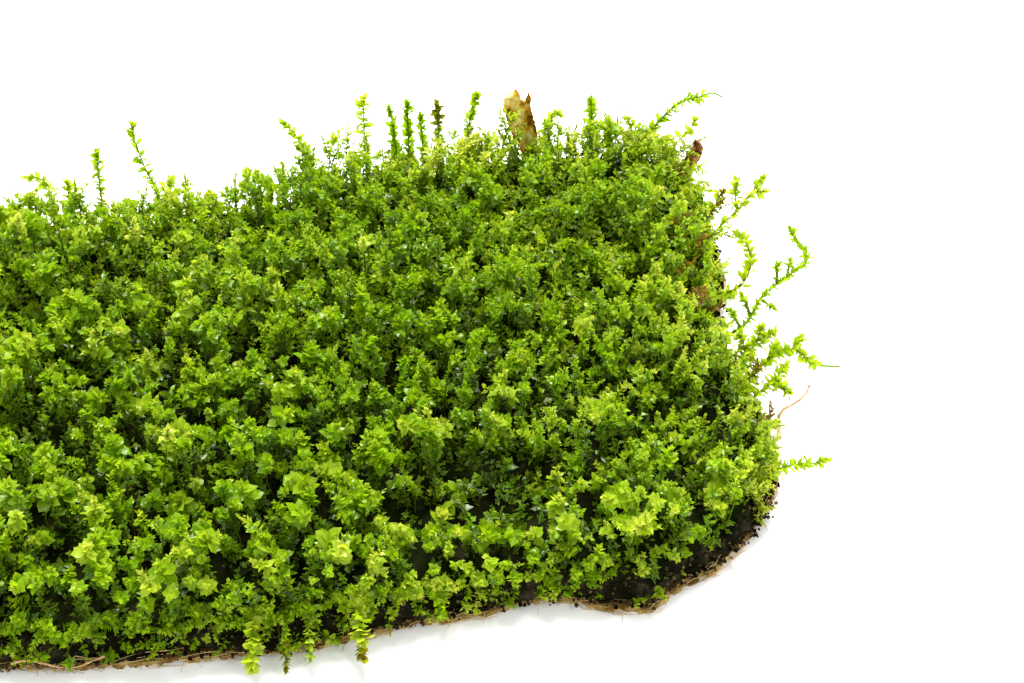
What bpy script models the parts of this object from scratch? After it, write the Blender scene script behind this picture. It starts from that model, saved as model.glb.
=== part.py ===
"""A strip of leafy moss lifted with the soil it grew on.

Bottom to top: a thin felt of roots, a thin mat of dark soil, and the moss. The moss stands in tufts,
each a group of shoots with a broad leafy head, and single shoots stray out over the rim. A flake of
bark, a dead leaf, a few roots and a crumb of soil lie along the edge.

Lengths below are millimetres; the meshes are made in metres. X runs along the strip, Y from the front
edge to the back, Z up, and the strip lies with its felt on z = 0.
"""
import math
import random

import bmesh
import bpy
from mathutils import Vector, noise
from mathutils.geometry import intersect_point_line

MM = 0.001
SEED = 47
GAP = 0.35                      # between pieces that touch
ORIGIN_SHIFT = (-5.6, 4.35)     # brings the middle of the whole over the origin

# Felt and soil
FELT_THICKNESS = 1.5
SOIL_BOTTOM = FELT_THICKNESS + GAP
SOIL_TOP = 7.0
RIM_POINTS = 72                 # round the soil mat and the felt
SOIL_RAGGED = 1.0               # how far the soil's side wanders in and out
FELT_RAGGED = 1.3

# Moss
FOOT = SOIL_TOP + GAP           # where the shoots stand
FOOT_INSET = 4.4                # from the mat's rim to the outermost tufts
SHOOT_PITCH = 11.6              # between neighbouring shoots of a tuft
EVENING_ROUNDS = 14             # how often the cells are evened out
CORNER_JITTER = 1.5
TUFT_PITCH = (31.0, 29.0)
SHOULDER = 3.2                  # height at which the shoots of a tuft part
MOSS_TOP = 28.0                 # usual top of the cover, from z = 0
SWELL = (2.2, 30.0)             # how far the cover swells and sinks, and over what distance
HEAD_JITTER = 3.0
RIM_DROP = 6.0                  # how much lower the moss is at the rim
RIM_BAND = 15.0
LOW_BACK_DROP = 3.5             # how much lower still the left part of the back is
LOW_BACK = (-8.0, 28.0)         # it lies left of this x and behind this y
LOW_BACK_EASE = 12.0
NECK_SIZE = 0.55                # of a shoot's cell
NECK_LEVEL = 0.12               # of a shoot's height
HEAD_LEVEL = 0.74               # where its head is widest
HEAD_SIZE = (0.86, 0.96)
HEAD_DENT = 0.24                # how deep the rim of a head is indented between its leaves
PIT_DEPTH = 13.0
OUTWARD_LEAN = 0.28             # sideways run for each unit of height, at the rim
BACK_LEAN = 0.4                 # share of it at the back
SIDE_LEAN = 0.15                # share of it at the right side, behind SIDE_START
SIDE_START = -34.0

# Outline of the strip, anticlockwise from the front left
OUTLINE = [
    (-93, -62), (-88, -66), (-66, -66), (-48, -67), (-20, -68), (-2, -66), (18, -63), (41, -61), (56, -64.5),
    (65, -60), (72, -57), (78, -53), (83, -47), (87, -39), (89, -30), (88.5, -20), (86, -11), (84.5, -2),
    (84, 8), (86, 19), (88, 31), (87.5, 42), (87, 52), (84, 59), (76, 63.5), (66, 65.5), (46, 65.5), (25, 63),
    (8, 61), (-6, 58.5), (-17, 54.5), (-29, 52.5), (-50, 51), (-66, 50.5), (-88, 51), (-93, 46), (-94, 28),
    (-92, 6), (-94, -16), (-92, -40),
]

# Dark hollows between the shoots: x, y, radius
PITS = [
    (-64, 12, 5), (-59, -22, 7), (-48, 23, 5), (-25, 32, 5), (-30, -17, 5), (-4, -42, 5), (17, -46, 8),
    (28, -48, 8), (40, -44, 7), (40, 27, 6), (53, 10, 6), (63, 17, 7), (65, -26, 6), (75, -30, 5),
    (77, -52, 6), (-39, -44, 5), (-52, -58, 5), (-13, -60, 5),
]

# Bushy crests on the back rim: x, y, radius, rise
CRESTS = [(1, 56, 8, 6), (-32, 50, 6, 6)]

# Single shoots at the rim: widest radius, then points from the foot to the tip
STRAY_SHOOTS = {
    "stray_shoot_hooked": (1.5, [
        (-61.5, 48.2, 7.35), (-61.3, 51.6, 13.5), (-62, 53.5, 18.5), (-64.5, 54, 20.5),
        (-67.5, 53.8, 20.5)]),
    "stray_shoot_beside_hook": (1.4, [(-57.3, 48.3, 7.35), (-57.6, 51.6, 14), (-57.6, 54.6, 20)]),
    "stray_shoot_club": (1.9, [(-50, 48.4, 7.35), (-50.2, 51.4, 16), (-49.8, 54.5, 28)]),
    "stray_shoot_tall": (2.0, [
        (-36.5, 49.3, 7.35), (-37.5, 52, 15), (-39.8, 53.6, 22), (-41.4, 56, 30), (-40.6, 58, 33)]),
    "stray_shoot_back_left": (1.6, [
        (-1.5, 56.7, 7.35), (-2.5, 58.5, 15), (-5, 59.6, 22.5), (-9, 61.6, 26.6)]),
    "stray_shoot_round_head": (2.1, [(10, 58.6, 7.35), (10.2, 59.8, 18), (10.6, 61, 32.6)]),
    "stray_shoot_fork_left": (1.4, [(17.4, 59.5, 7.35), (17.4, 60.9, 16.5), (16.4, 63, 28.3)]),
    "stray_shoot_fork_right": (1.4, [(20.8, 59.9, 7.35), (20.4, 61.2, 17), (20.7, 62.5, 30)]),
    "stray_shoot_stub": (1.4, [(24.4, 60.3, 7.35), (23.8, 62, 14), (23.6, 64, 25)]),
    "stray_shoot_brown_tip": (1.5, [(28, 60.8, 7.35), (27.6, 61.8, 17), (27.2, 62, 28.8)]),
    "stray_shoot_jointed": (1.6, [
        (34.4, 61.6, 7.35), (34.4, 62.2, 17), (35.4, 63, 24.5), (37.3, 62.6, 30.6)]),
    "stray_shoot_arch": (1.4, [(53.2, 63, 7.35), (53.2, 65.2, 14), (54.9, 66.4, 19), (57.8, 65.4, 18)]),
    "stray_shoot_finger": (1.5, [(64, 62.9, 7.35), (63.8, 63.8, 17), (63.1, 63.4, 26)]),
    "stray_shoot_whip": (1.5, [
        (74.5, 60.9, 7.35), (75.5, 61.2, 13), (79, 61, 18.6), (84, 62.4, 23), (89, 63, 23.8),
        (92, 64, 24), (94.5, 63.6, 22.8)]),
    "stray_shoot_round_leaves": (1.5, [
        (80.2, 58.2, 7.35), (83, 60, 12), (87, 61.8, 15.5), (89.2, 63.6, 18.5)]),
    "stray_shoot_right_back": (1.7, [
        (85.4, 31, 7.35), (89.8, 32.6, 11), (93, 34, 13.4), (97, 37, 16.2), (100.8, 40.4, 19)]),
    "stray_shoot_right_short": (1.5, [(85.1, 37, 7.35), (88.5, 37.8, 11.5), (91.4, 39.8, 16.6)]),
    "stray_shoot_arched_stem": (0.9, [
        (82.1, 12.2, 7.35), (85, 10.8, 10.2), (88.2, 9.8, 12), (91, 11.4, 14), (92.8, 16.4, 15),
        (92.3, 22.4, 15), (90.3, 27.4, 14)]),
    "stray_shoot_curly": (1.9, [
        (81.9, -2.4, 7.35), (85.5, -2.5, 11), (89, -1.4, 13.4), (92.3, 3.2, 15), (96.5, 6.6, 16),
        (101.5, 10.4, 16), (104.8, 13.8, 16), (103.6, 18.2, 16.5), (101.8, 22.6, 19)]),
    "stray_shoot_plume": (1.7, [
        (83.7, -12.2, 7.35), (86.3, -10.9, 11), (88.8, -8.9, 14), (91.4, -6, 18.4)]),
    "stray_shoot_dark_joint": (1.6, [
        (84.8, -16.4, 7.35), (87.4, -15.2, 11), (90, -13.9, 13.2), (93, -12.6, 14.2),
        (96.5, -11.4, 14), (99, -11.8, 12.4), (102, -12.2, 9.6), (107, -12.5, 8.8)]),
    "stray_shoot_split_tip": (1.5, [
        (85.9, -20.8, 7.35), (88.4, -19.6, 10.8), (91, -18.6, 12), (93.6, -17.8, 12.4)]),
    "stray_shoot_low_right": (1.6, [
        (82.6, -43.2, 7.35), (85.6, -43, 11), (88.8, -42.2, 12.2), (94.6, -41.7, 12),
        (99, -40.9, 12)]),
    "drooping_shoot_pale": (1.6, [
        (-18, -65.4, 7.35), (-18, -68, 9.4), (-18.3, -72, 7.6), (-18.8, -75.2, 2.6)]),
    "drooping_shoot_dark": (1.3, [
        (-12, -64.8, 7.35), (-12, -67.6, 9.2), (-12.2, -72, 7), (-12.5, -75.6, 2.3)]),
    "drooping_shoot_thin": (1.3, [
        (-7.5, -64.2, 7.35), (-7.6, -67, 9), (-7.7, -70.6, 6.6), (-7.8, -73.4, 2.4)]),
    "drooping_shoot_yellow": (1.8, [(1.6, -63, 7.35), (1.7, -66.4, 9.8), (2, -71, 8.2), (2, -75.2, 3)]),
    "drooping_shoot_stub": (1.4, [(16.4, -60.8, 7.35), (17, -64.4, 9.2), (17.8, -68.6, 6)]),
}
STRAY_STEP = 3.4                # between the leaf whorls of a stray shoot
STRAY_SIDES = 4
STEM_SIZE = 0.55                # radius between two whorls, of the whorl's
FOOT_SIZE = 0.55                # radius at the foot, of the widest
TIP_SIZE = 0.35

# Roots
LOOSE_ROOT = [
    (91.4, -27.4, 4.2), (91.9, -23.6, 4.3), (92.8, -20.6, 4.4), (94.4, -19.4, 4.6), (97.2, -18.3, 5.2),
    (99.2, -16.8, 6), (100.1, -15.4, 7),
]
LOOSE_ROOT_RADIUS = 0.5
EDGE_ROOT_SPAN = (-64, -46)     # stretch of the front edge that the curved root follows
EDGE_ROOT_RADIUS = 0.45
EDGE_ROOT_WAVE = 1.2            # how far it winds up and down
ROOT_SIDES = 5
ROOT_STEP = 2.2

# Bark, dead leaf and crumb
BARK_BASE = (47.3, 63.3)
BARK_WIDTH = 8.6
BARK_HEIGHT = 18.8
BARK_THICKNESS = 1.3
BARK_CURL = 1.1                 # how far its middle bulges
BARK_SPLIT = 2.6                # how deep its top end is split
BARK_GRID = (6, 4)              # faces up and across
DEAD_LEAF = [(83.4, 53.6, 7.7), (85, 55, 9), (86.8, 56.2, 11), (88, 57, 13.4), (87.8, 57, 15.6)]
DEAD_LEAF_WIDTH = 3.6
DEAD_LEAF_THICKNESS = 0.5
DEAD_LEAF_STEP = 1.2
CRUMB_PLACE = (86.2, -25.2)
CRUMB_RADIUS = 1.5
CRUMB_LUMPS = 0.16


def clear_scene() -> None:
    """Remove whatever the open file holds."""
    for old in list(bpy.data.objects):
        bpy.data.objects.remove(old, do_unlink=True)


def make_material(name: str, colour: tuple, roughness: float) -> bpy.types.Material:
    """A plain Principled material."""
    material = bpy.data.materials.new(name)
    material.use_nodes = True
    shader = material.node_tree.nodes["Principled BSDF"]
    shader.inputs["Base Color"].default_value = (*colour, 1.0)
    shader.inputs["Roughness"].default_value = roughness
    shader.inputs["Metallic"].default_value = 0.0
    return material


def finish(name: str, bm: bmesh.types.BMesh, material: bpy.types.Material, sharp_deg: float = 50.0) -> None:
    """Turn a body modelled in millimetres into a named object in metres."""
    bmesh.ops.translate(bm, verts=bm.verts, vec=(*ORIGIN_SHIFT, 0.0))
    bmesh.ops.scale(bm, verts=bm.verts, vec=(MM, MM, MM))
    bmesh.ops.triangulate(bm, faces=bm.faces)
    bmesh.ops.recalc_face_normals(bm, faces=bm.faces)
    mesh = bpy.data.meshes.new(name)
    bm.to_mesh(mesh)
    bm.free()
    mesh.materials.append(material)
    mesh.shade_smooth()
    mesh.set_sharp_from_angle(angle=math.radians(sharp_deg))
    bpy.context.scene.collection.objects.link(bpy.data.objects.new(name, mesh))


def wander(x: float, y: float, size: float, channel: float) -> float:
    """Smooth irregularity from -1 to 1 that changes over the given size."""
    return max(-1.0, min(1.0, 1.6 * noise.noise(Vector((x / size, y / size, channel)))))


def ease(value: float) -> float:
    """0 below 0, 1 above 1, and a soft step between."""
    value = max(0.0, min(1.0, value))
    return value * value * (3.0 - 2.0 * value)


def smooth_path(points: list, spacing: float, closed: bool = False) -> list:
    """Points about one spacing apart on the smooth curve through the given ones."""
    knots = [Vector(point) for point in points]
    count = len(knots)
    dense = []
    for index in range(count if closed else count - 1):
        if closed:
            a, b, c, d = (knots[(index + step) % count] for step in (-1, 0, 1, 2))
        else:
            a = knots[max(0, index - 1)]
            b, c = knots[index], knots[index + 1]
            d = knots[min(count - 1, index + 2)]
        for tick in range(16):
            t = tick / 16.0
            dense.append(0.5 * (2 * b + (c - a) * t + (2 * a - 5 * b + 4 * c - d) * t ** 2
                                + (3 * b - a - 3 * c + d) * t ** 3))
    dense.append(knots[0].copy() if closed else knots[-1].copy())
    lengths = [0.0]
    for start, end in zip(dense, dense[1:]):
        lengths.append(lengths[-1] + (end - start).length)
    pieces = max(2, round(lengths[-1] / spacing))
    path = []
    at = 0
    for step in range(pieces if closed else pieces + 1):
        want = lengths[-1] * step / pieces
        while at < len(dense) - 2 and lengths[at + 1] < want:
            at += 1
        share = (want - lengths[at]) / max(1e-9, lengths[at + 1] - lengths[at])
        path.append(dense[at].lerp(dense[at + 1], min(1.0, share)))
    return path


def rim_path(count: int) -> list:
    """The strip's outline as the given number of even points."""
    rough = smooth_path([(x, y, 0.0) for x, y in OUTLINE], 1.0, closed=True)
    return smooth_path(rough, len(rough) / count, closed=True)[:count]


def outward(path: list, index: int) -> Vector:
    """Direction out of the outline at one of its points."""
    along = path[(index + 1) % len(path)] - path[index - 1]
    return Vector((along.y, -along.x, 0.0)).normalized()


class Rim:
    """The strip's outline, for finding how far inside it a place lies."""

    def __init__(self) -> None:
        self.path = rim_path(2 * RIM_POINTS)

    def nearest(self, x: float, y: float) -> tuple:
        """Nearest place on the outline, and the way inwards there."""
        here = Vector((x, y, 0.0))
        best = None
        for index, start in enumerate(self.path):
            end = self.path[(index + 1) % len(self.path)]
            spot, share = intersect_point_line(here, start, end)
            spot = start.lerp(end, max(0.0, min(1.0, share)))
            if best is None or (spot - here).length < best[0]:
                along = end - start
                best = ((spot - here).length, spot, Vector((-along.y, along.x, 0.0)).normalized())
        return best[1], best[2]

    def depth(self, x: float, y: float) -> float:
        """Distance inside the outline; negative outside."""
        spot, inward = self.nearest(x, y)
        offset = Vector((x, y, 0.0)) - spot
        return math.copysign(offset.length, offset.dot(inward))


def ring_stack(rings: list) -> bmesh.types.BMesh:
    """Closed body through a stack of rings with equal point counts, with flat ends."""
    bm = bmesh.new()
    layers = [[bm.verts.new(point) for point in ring] for ring in rings]
    count = len(layers[0])
    for low, high in zip(layers, layers[1:]):
        for index in range(count):
            after = (index + 1) % count
            bm.faces.new((low[index], low[after], high[after], high[index]))
    bm.faces.new(list(reversed(layers[0])))
    bm.faces.new(layers[-1])
    return bm


def root_felt(material: bpy.types.Material) -> None:
    """Thin felt of roots under the soil, frayed into lobes round its edge."""
    path = rim_path(RIM_POINTS)
    low, high = [], []
    for index, point in enumerate(path):
        fray = 0.9 + FELT_RAGGED * wander(point.x, point.y, 5.0, 3.0)
        out = outward(path, index)
        low.append((*(point + out * fray).xy, 0.0))
        high.append((*(point + out * (fray - 0.5)).xy, FELT_THICKNESS))
    finish("root_felt", ring_stack([low, high]), material)


def soil_mat(material: bpy.types.Material) -> None:
    """Dark soil with a crumbled side and a level top for the tufts."""
    path = rim_path(RIM_POINTS)
    levels = ((SOIL_BOTTOM, -1.0), (3.4, 0.0), (5.4, -0.2), (6.6, -1.1), (SOIL_TOP, -2.4))
    rings = []
    for level, (height, inset) in enumerate(levels):
        ring = []
        for index, point in enumerate(path):
            shift = inset + SOIL_RAGGED * wander(point.x, point.y, 5.0, 5.0 + level * 0.6)
            lift = 0.5 * wander(point.x, point.y, 4.0, 8.0 + level) if 0 < level < 3 else 0.0
            ring.append((*(point + outward(path, index) * shift).xy, height + lift))
        rings.append(ring)
    finish("soil_mat", ring_stack(rings), material, 25.0)


def moss_height(rim: Rim, x: float, y: float) -> float:
    """Height of the moss cover, with its swells, hollows and lower rim."""
    height = MOSS_TOP + SWELL[0] * wander(x, y, SWELL[1], 11.0)
    low_back = ease((LOW_BACK[0] - x) / LOW_BACK_EASE) * ease((y - LOW_BACK[1]) / LOW_BACK_EASE)
    height -= (RIM_DROP + LOW_BACK_DROP * low_back) * (1.0 - ease(rim.depth(x, y) / RIM_BAND))
    for pit_x, pit_y, radius in PITS:
        away = math.hypot(x - pit_x, y - pit_y) / radius
        height -= PIT_DEPTH * math.exp(-away * away)
    for crest_x, crest_y, radius, rise in CRESTS:
        away = math.hypot(x - crest_x, y - crest_y) / radius
        height += rise * math.exp(-away * away)
    return max(FOOT + SHOULDER + 2.0, height)


def lean(rim: Rim, x: float, y: float) -> Vector:
    """Sideways run of the shoots for each unit of height: outwards near the rim, slightly forward inside."""
    spot, inward = rim.nearest(x, y)
    near_rim = 1.0 - ease(rim.depth(x, y) / (2.0 * RIM_BAND))
    push = OUTWARD_LEAN * near_rim
    if inward.y < -0.5:
        push *= BACK_LEAN
    elif inward.x < -0.5 and y > SIDE_START:
        push *= SIDE_LEAN
    return -inward * push + Vector((0.0, -0.05, 0.0))


def shoot_cells(rim: Rim) -> tuple:
    """Six-sided cells, one for each shoot, that fill the strip inside the rim margin.

    Returns the cells as lists of corner names, and the corners' places.
    """
    rng = random.Random(SEED)
    row = SHOOT_PITCH * math.sqrt(3.0) / 2.0
    reach = SHOOT_PITCH / math.sqrt(3.0)
    cells, corners, users, beside = [], {}, {}, {}
    for j in range(-7, 8):
        for i in range(-9, 10):
            centre = Vector((SHOOT_PITCH * (i + 0.5 * (j % 2)), row * j, 0.0))
            if rim.depth(centre.x, centre.y) < FOOT_INSET + 0.25 * SHOOT_PITCH:
                continue
            names = []
            for k in range(6):
                turn = math.radians(30.0 + 60.0 * k)
                corner = centre + Vector((reach * math.cos(turn), reach * math.sin(turn), 0.0))
                name = (round(corner.x), round(corner.y))
                names.append(name)
                users[name] = users.get(name, 0) + 1
                corners[name] = corner
            for name, after in zip(names, names[1:] + names[:1]):
                beside.setdefault(name, set()).add(after)
                beside.setdefault(after, set()).add(name)
            cells.append(names)
    for _ in range(EVENING_ROUNDS):
        for name in corners:
            around = [other for other in sorted(beside[name]) if users[name] == 3 or users[other] < 3]
            place = sum((corners[other] for other in around), Vector()) / len(around)
            if users[name] < 3:
                spot, inward = rim.nearest(place.x, place.y)
                place = spot + inward * FOOT_INSET
            corners[name] = place
    for name in corners:
        if users[name] == 3:
            shift = Vector((rng.uniform(-1, 1), rng.uniform(-1, 1), 0.0))
            corners[name] = corners[name] + shift * CORNER_JITTER
    return cells, corners


def tuft_names() -> dict:
    """Tuft centres on a loose grid, named by where they stand."""
    rng = random.Random(SEED + 1)
    rows = ("front", "mid_front", "mid_back", "back")
    names = {}
    for j, row in enumerate(rows):
        for i in range(6):
            x = (i - 2.5) * TUFT_PITCH[0] + (7.0 if j % 2 else -7.0) + rng.uniform(-3, 3)
            y = (j - 1.5) * TUFT_PITCH[1] - 3.0 + rng.uniform(-3, 3)
            names[f"moss_tuft_{row}_{i + 1}"] = Vector((x, y, 0.0))
    return names


def moss_tuft(name: str, cells: list, corners: dict, rim: Rim, material: bpy.types.Material) -> None:
    """A group of shoots joined at the foot: each rises from a narrow neck to a broad leafy head."""
    rng = random.Random(f"{SEED} {name}")
    bm = bmesh.new()
    used = sorted({corner for cell in cells for corner in cell})
    verts = {}
    for corner in used:
        place = corners[corner]
        verts[corner] = bm.verts.new((place.x, place.y, FOOT + SHOULDER + wander(place.x, place.y, 9.0, 2.0)))
    shoots = [bm.faces.new([verts[corner] for corner in cell]) for cell in cells]
    margin = bmesh.ops.inset_region(
        bm, faces=shoots, thickness=GAP / 2, use_boundary=True, use_even_offset=True)
    bmesh.ops.delete(bm, geom=margin["faces"], context="FACES")
    for shoot in shoots:
        middle = shoot.calc_center_median()
        top = moss_height(rim, middle.x, middle.y) + rng.uniform(-1, 1) * HEAD_JITTER
        rise = top - middle.z
        head = rng.uniform(*HEAD_SIZE)
        for reach, level, rough in ((NECK_SIZE, NECK_LEVEL, 0.0), (head / NECK_SIZE, HEAD_LEVEL, HEAD_DENT)):
            shoot = bmesh.ops.extrude_discrete_faces(bm, faces=[shoot])["faces"][0]
            for index, vert in enumerate(shoot.verts):
                dent = rough * (index % 2)
                spread = reach * (1.0 - dent - 0.3 * rough * rng.random())
                vert.co.xy = middle.xy + (vert.co.xy - middle.xy) * spread
                vert.co.z = middle.z + rise * (level + 0.6 * dent + 0.4 * rough * rng.uniform(-1, 1))
        crown = bmesh.ops.poke(bm, faces=[shoot])["verts"][0]
        crown.co.z = top
        crown.co.xy += Vector((rng.uniform(-1, 1), rng.uniform(-1, 1)))
    border = [edge for edge in bm.edges if edge.is_boundary]
    wall = bmesh.ops.extrude_edge_only(bm, edges=border)["geom"]
    for vert in (item for item in wall if isinstance(item, bmesh.types.BMVert)):
        vert.co.z = FOOT
    bmesh.ops.edgeloop_fill(bm, edges=[item for item in wall if isinstance(item, bmesh.types.BMEdge)])
    for vert in bm.verts:
        height = vert.co.z - FOOT
        vert.co += lean(rim, vert.co.x, vert.co.y) * height
    finish(name, bm, material, 40.0)


def moss_tufts(material: bpy.types.Material) -> None:
    """All the tufts, each made of the cells nearest to its centre."""
    rim = Rim()
    cells, corners = shoot_cells(rim)
    centres = tuft_names()
    groups = {name: [] for name in centres}
    for cell in cells:
        middle = sum((corners[corner] for corner in cell), Vector()) / 6.0
        nearest = min(centres, key=lambda name: (centres[name] - middle).length)
        groups[nearest].append(cell)
    for name, group in groups.items():
        if group:
            moss_tuft(name, group, corners, rim, material)


def swept_tube(path: list, radii: list, sides: int, upright_start: bool) -> bmesh.types.BMesh:
    """Closed tube along a path, one radius for each point."""
    rings = []
    across = Vector((1.0, 0.0, 0.0))
    for index, point in enumerate(path):
        along = path[min(index + 1, len(path) - 1)] - path[max(index - 1, 0)]
        if index == 0 and upright_start:
            along = Vector((0.0, 0.0, 1.0))
        along.normalize()
        across = (across - along * across.dot(along)).normalized()
        other = along.cross(across)
        ring = []
        for side in range(sides):
            turn = 2.0 * math.pi * (side + 0.5 * (index % 2)) / sides
            ring.append(point + (across * math.cos(turn) + other * math.sin(turn)) * radii[index])
        rings.append(ring)
    return ring_stack(rings)


def stray_shoot(name: str, widest: float, points: list, material: bpy.types.Material) -> None:
    """A single shoot: whorls of leaves are wide rings, and the stem between them narrow ones."""
    path = smooth_path(points, STRAY_STEP / 2.0)
    radii = []
    for index in range(len(path)):
        along = index / (len(path) - 1)
        whorl = 1.0 if index % 2 else STEM_SIZE
        swell = min(1.0, FOOT_SIZE + 2.0 * along)
        taper = 1.0 - TIP_SIZE * ease((along - 0.6) / 0.4)
        radii.append(widest * whorl * swell * taper)
    radii[-1] = widest * TIP_SIZE
    finish(name, swept_tube(path, radii, STRAY_SIDES, True), material)


def roots(material: bpy.types.Material) -> None:
    """A loose root that sticks out of the side, and a curved one along the front edge."""
    path = smooth_path(LOOSE_ROOT, ROOT_STEP)
    radii = [LOOSE_ROOT_RADIUS * (1.25 - 0.6 * index / (len(path) - 1)) for index in range(len(path))]
    finish("loose_root", swept_tube(path, radii, ROOT_SIDES, False), material)
    rim = Rim()
    start, end = EDGE_ROOT_SPAN
    steps = round((end - start) / ROOT_STEP)
    path = []
    for step in range(steps + 1):
        share = step / steps
        spot, inward = rim.nearest(start + (end - start) * share, OUTLINE[2][1])
        away = SOIL_RAGGED + EDGE_ROOT_RADIUS + 0.5 + 0.8 * math.sin(math.pi * share)
        height = SOIL_BOTTOM + EDGE_ROOT_RADIUS + EDGE_ROOT_WAVE * (1.0 + math.sin(2.4 * math.pi * share))
        path.append(Vector((*(spot - inward * away).xy, height)))
    finish("edge_root", swept_tube(path, [EDGE_ROOT_RADIUS] * len(path), ROOT_SIDES, False), material)


def bark_flake(material: bpy.types.Material) -> None:
    """A split flake of bark standing on edge among the shoots of the back rim."""
    rows, columns = BARK_GRID
    bm = bmesh.new()
    sheets = []
    for side in (-0.5, 0.5):
        sheet = []
        for row in range(rows + 1):
            up = row / rows
            width = BARK_WIDTH * (0.62 + 0.38 * math.sin(math.pi * min(1.0, up + 0.2)))
            line = []
            for column in range(columns + 1):
                across = column / columns - 0.5
                split = BARK_SPLIT * math.cos(9.0 * across + 1.0) if row == rows else 0.0
                x = BARK_BASE[0] + across * width - up
                flaky = 0.35 * wander(x, up * BARK_HEIGHT, 3.0, 6.0)
                bulge = BARK_CURL * (math.cos(math.pi * across) - 0.8 + 1.3 * up) + flaky
                y = BARK_BASE[1] + side * BARK_THICKNESS * (1.0 - 0.3 * up) + bulge
                line.append(bm.verts.new((x, y, FOOT + BARK_HEIGHT * up + split)))
            sheet.append(line)
        sheets.append(sheet)
    for sheet in sheets:
        for row in range(rows):
            for column in range(columns):
                bm.faces.new((sheet[row][column], sheet[row][column + 1],
                              sheet[row + 1][column + 1], sheet[row + 1][column]))
    border = [edge for edge in bm.edges if edge.is_boundary]
    bmesh.ops.bridge_loops(bm, edges=border)
    finish("bark_flake", bm, material)


def dead_leaf(material: bpy.types.Material) -> None:
    """A curled brown leaf that stands up from the back right corner."""
    path = smooth_path(DEAD_LEAF, DEAD_LEAF_STEP)
    wide = Vector((-1.0, 1.0, 0.0)).normalized()
    rings = []
    for index, point in enumerate(path):
        share = index / (len(path) - 1)
        along = (path[min(index + 1, len(path) - 1)] - path[max(index - 1, 0)]).normalized()
        half = 0.5 * DEAD_LEAF_WIDTH * (0.2 + 0.8 * math.sin(math.pi * (0.08 + 0.84 * share)))
        side = wide * half
        thick = along.cross(wide) * 0.5 * DEAD_LEAF_THICKNESS
        near, far = point - side, point + side
        rings.append([near - thick, far - thick, far + thick, near + thick])
    finish("dead_leaf", ring_stack(rings), material)


def soil_crumb(material: bpy.types.Material) -> None:
    """A lump of soil on the right margin."""
    bm = bmesh.new()
    bmesh.ops.create_icosphere(bm, subdivisions=2, radius=CRUMB_RADIUS)
    for vert in bm.verts:
        vert.co *= 1.0 + CRUMB_LUMPS * wander(vert.co.x, vert.co.y, 0.6, vert.co.z)
    lowest = min(vert.co.z for vert in bm.verts)
    bmesh.ops.translate(bm, verts=bm.verts, vec=(*CRUMB_PLACE, FOOT - lowest))
    finish("soil_crumb", bm, material)


def build() -> None:
    """Make the whole strip."""
    clear_scene()
    felt = make_material("root_felt", (0.36, 0.24, 0.12), 0.9)
    soil = make_material("soil", (0.035, 0.025, 0.018), 0.95)
    moss = make_material("moss", (0.17, 0.38, 0.03), 0.55)
    young = make_material("young_moss", (0.30, 0.48, 0.05), 0.5)
    root = make_material("root", (0.52, 0.33, 0.16), 0.7)
    bark = make_material("bark", (0.42, 0.24, 0.09), 0.85)
    brown = make_material("dead_leaf", (0.20, 0.09, 0.05), 0.8)
    root_felt(felt)
    soil_mat(soil)
    moss_tufts(moss)
    for name, (widest, points) in STRAY_SHOOTS.items():
        stray_shoot(name, widest, points, young)
    roots(root)
    bark_flake(bark)
    dead_leaf(brown)
    soil_crumb(soil)


build()
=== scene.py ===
"""The looks of a strip of leafy moss on the soil that it grew on.

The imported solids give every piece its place. Each tuft and each stray shoot is made again here as real
leaves and stems, the soil and the felt of roots get their crumbs and threads, and a plain studio is set
round them. Lengths in the classes are millimetres, and meshes are made in metres. Places that are written
out count from the strip's own middle, which lies ORIGIN_SHIFT away from the origin.
"""
import logging
import math
from collections.abc import Callable
from dataclasses import dataclass, field
from enum import Enum

import bmesh
import bpy
import numpy as np
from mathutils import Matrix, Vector, noise
from mathutils.bvhtree import BVHTree


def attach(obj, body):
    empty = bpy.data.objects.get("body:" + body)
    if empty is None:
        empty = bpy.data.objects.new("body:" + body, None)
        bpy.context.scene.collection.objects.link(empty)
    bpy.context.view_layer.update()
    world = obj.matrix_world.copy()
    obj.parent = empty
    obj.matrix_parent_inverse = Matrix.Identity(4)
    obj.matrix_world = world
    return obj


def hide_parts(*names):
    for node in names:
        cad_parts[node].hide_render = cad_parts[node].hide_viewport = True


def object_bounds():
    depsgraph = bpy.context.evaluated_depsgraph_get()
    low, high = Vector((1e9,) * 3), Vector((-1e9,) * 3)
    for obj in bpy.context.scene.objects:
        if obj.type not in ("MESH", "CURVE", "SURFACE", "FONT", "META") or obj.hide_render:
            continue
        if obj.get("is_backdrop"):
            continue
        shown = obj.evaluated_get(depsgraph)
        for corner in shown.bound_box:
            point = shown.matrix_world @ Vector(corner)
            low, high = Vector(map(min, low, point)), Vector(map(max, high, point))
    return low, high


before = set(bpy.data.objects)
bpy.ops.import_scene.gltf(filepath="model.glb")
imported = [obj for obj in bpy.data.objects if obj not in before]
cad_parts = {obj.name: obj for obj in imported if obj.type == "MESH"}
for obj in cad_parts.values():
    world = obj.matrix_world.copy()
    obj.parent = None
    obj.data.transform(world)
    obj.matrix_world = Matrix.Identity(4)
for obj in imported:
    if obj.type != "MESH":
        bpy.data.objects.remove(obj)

log = logging.getLogger("moss")

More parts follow.
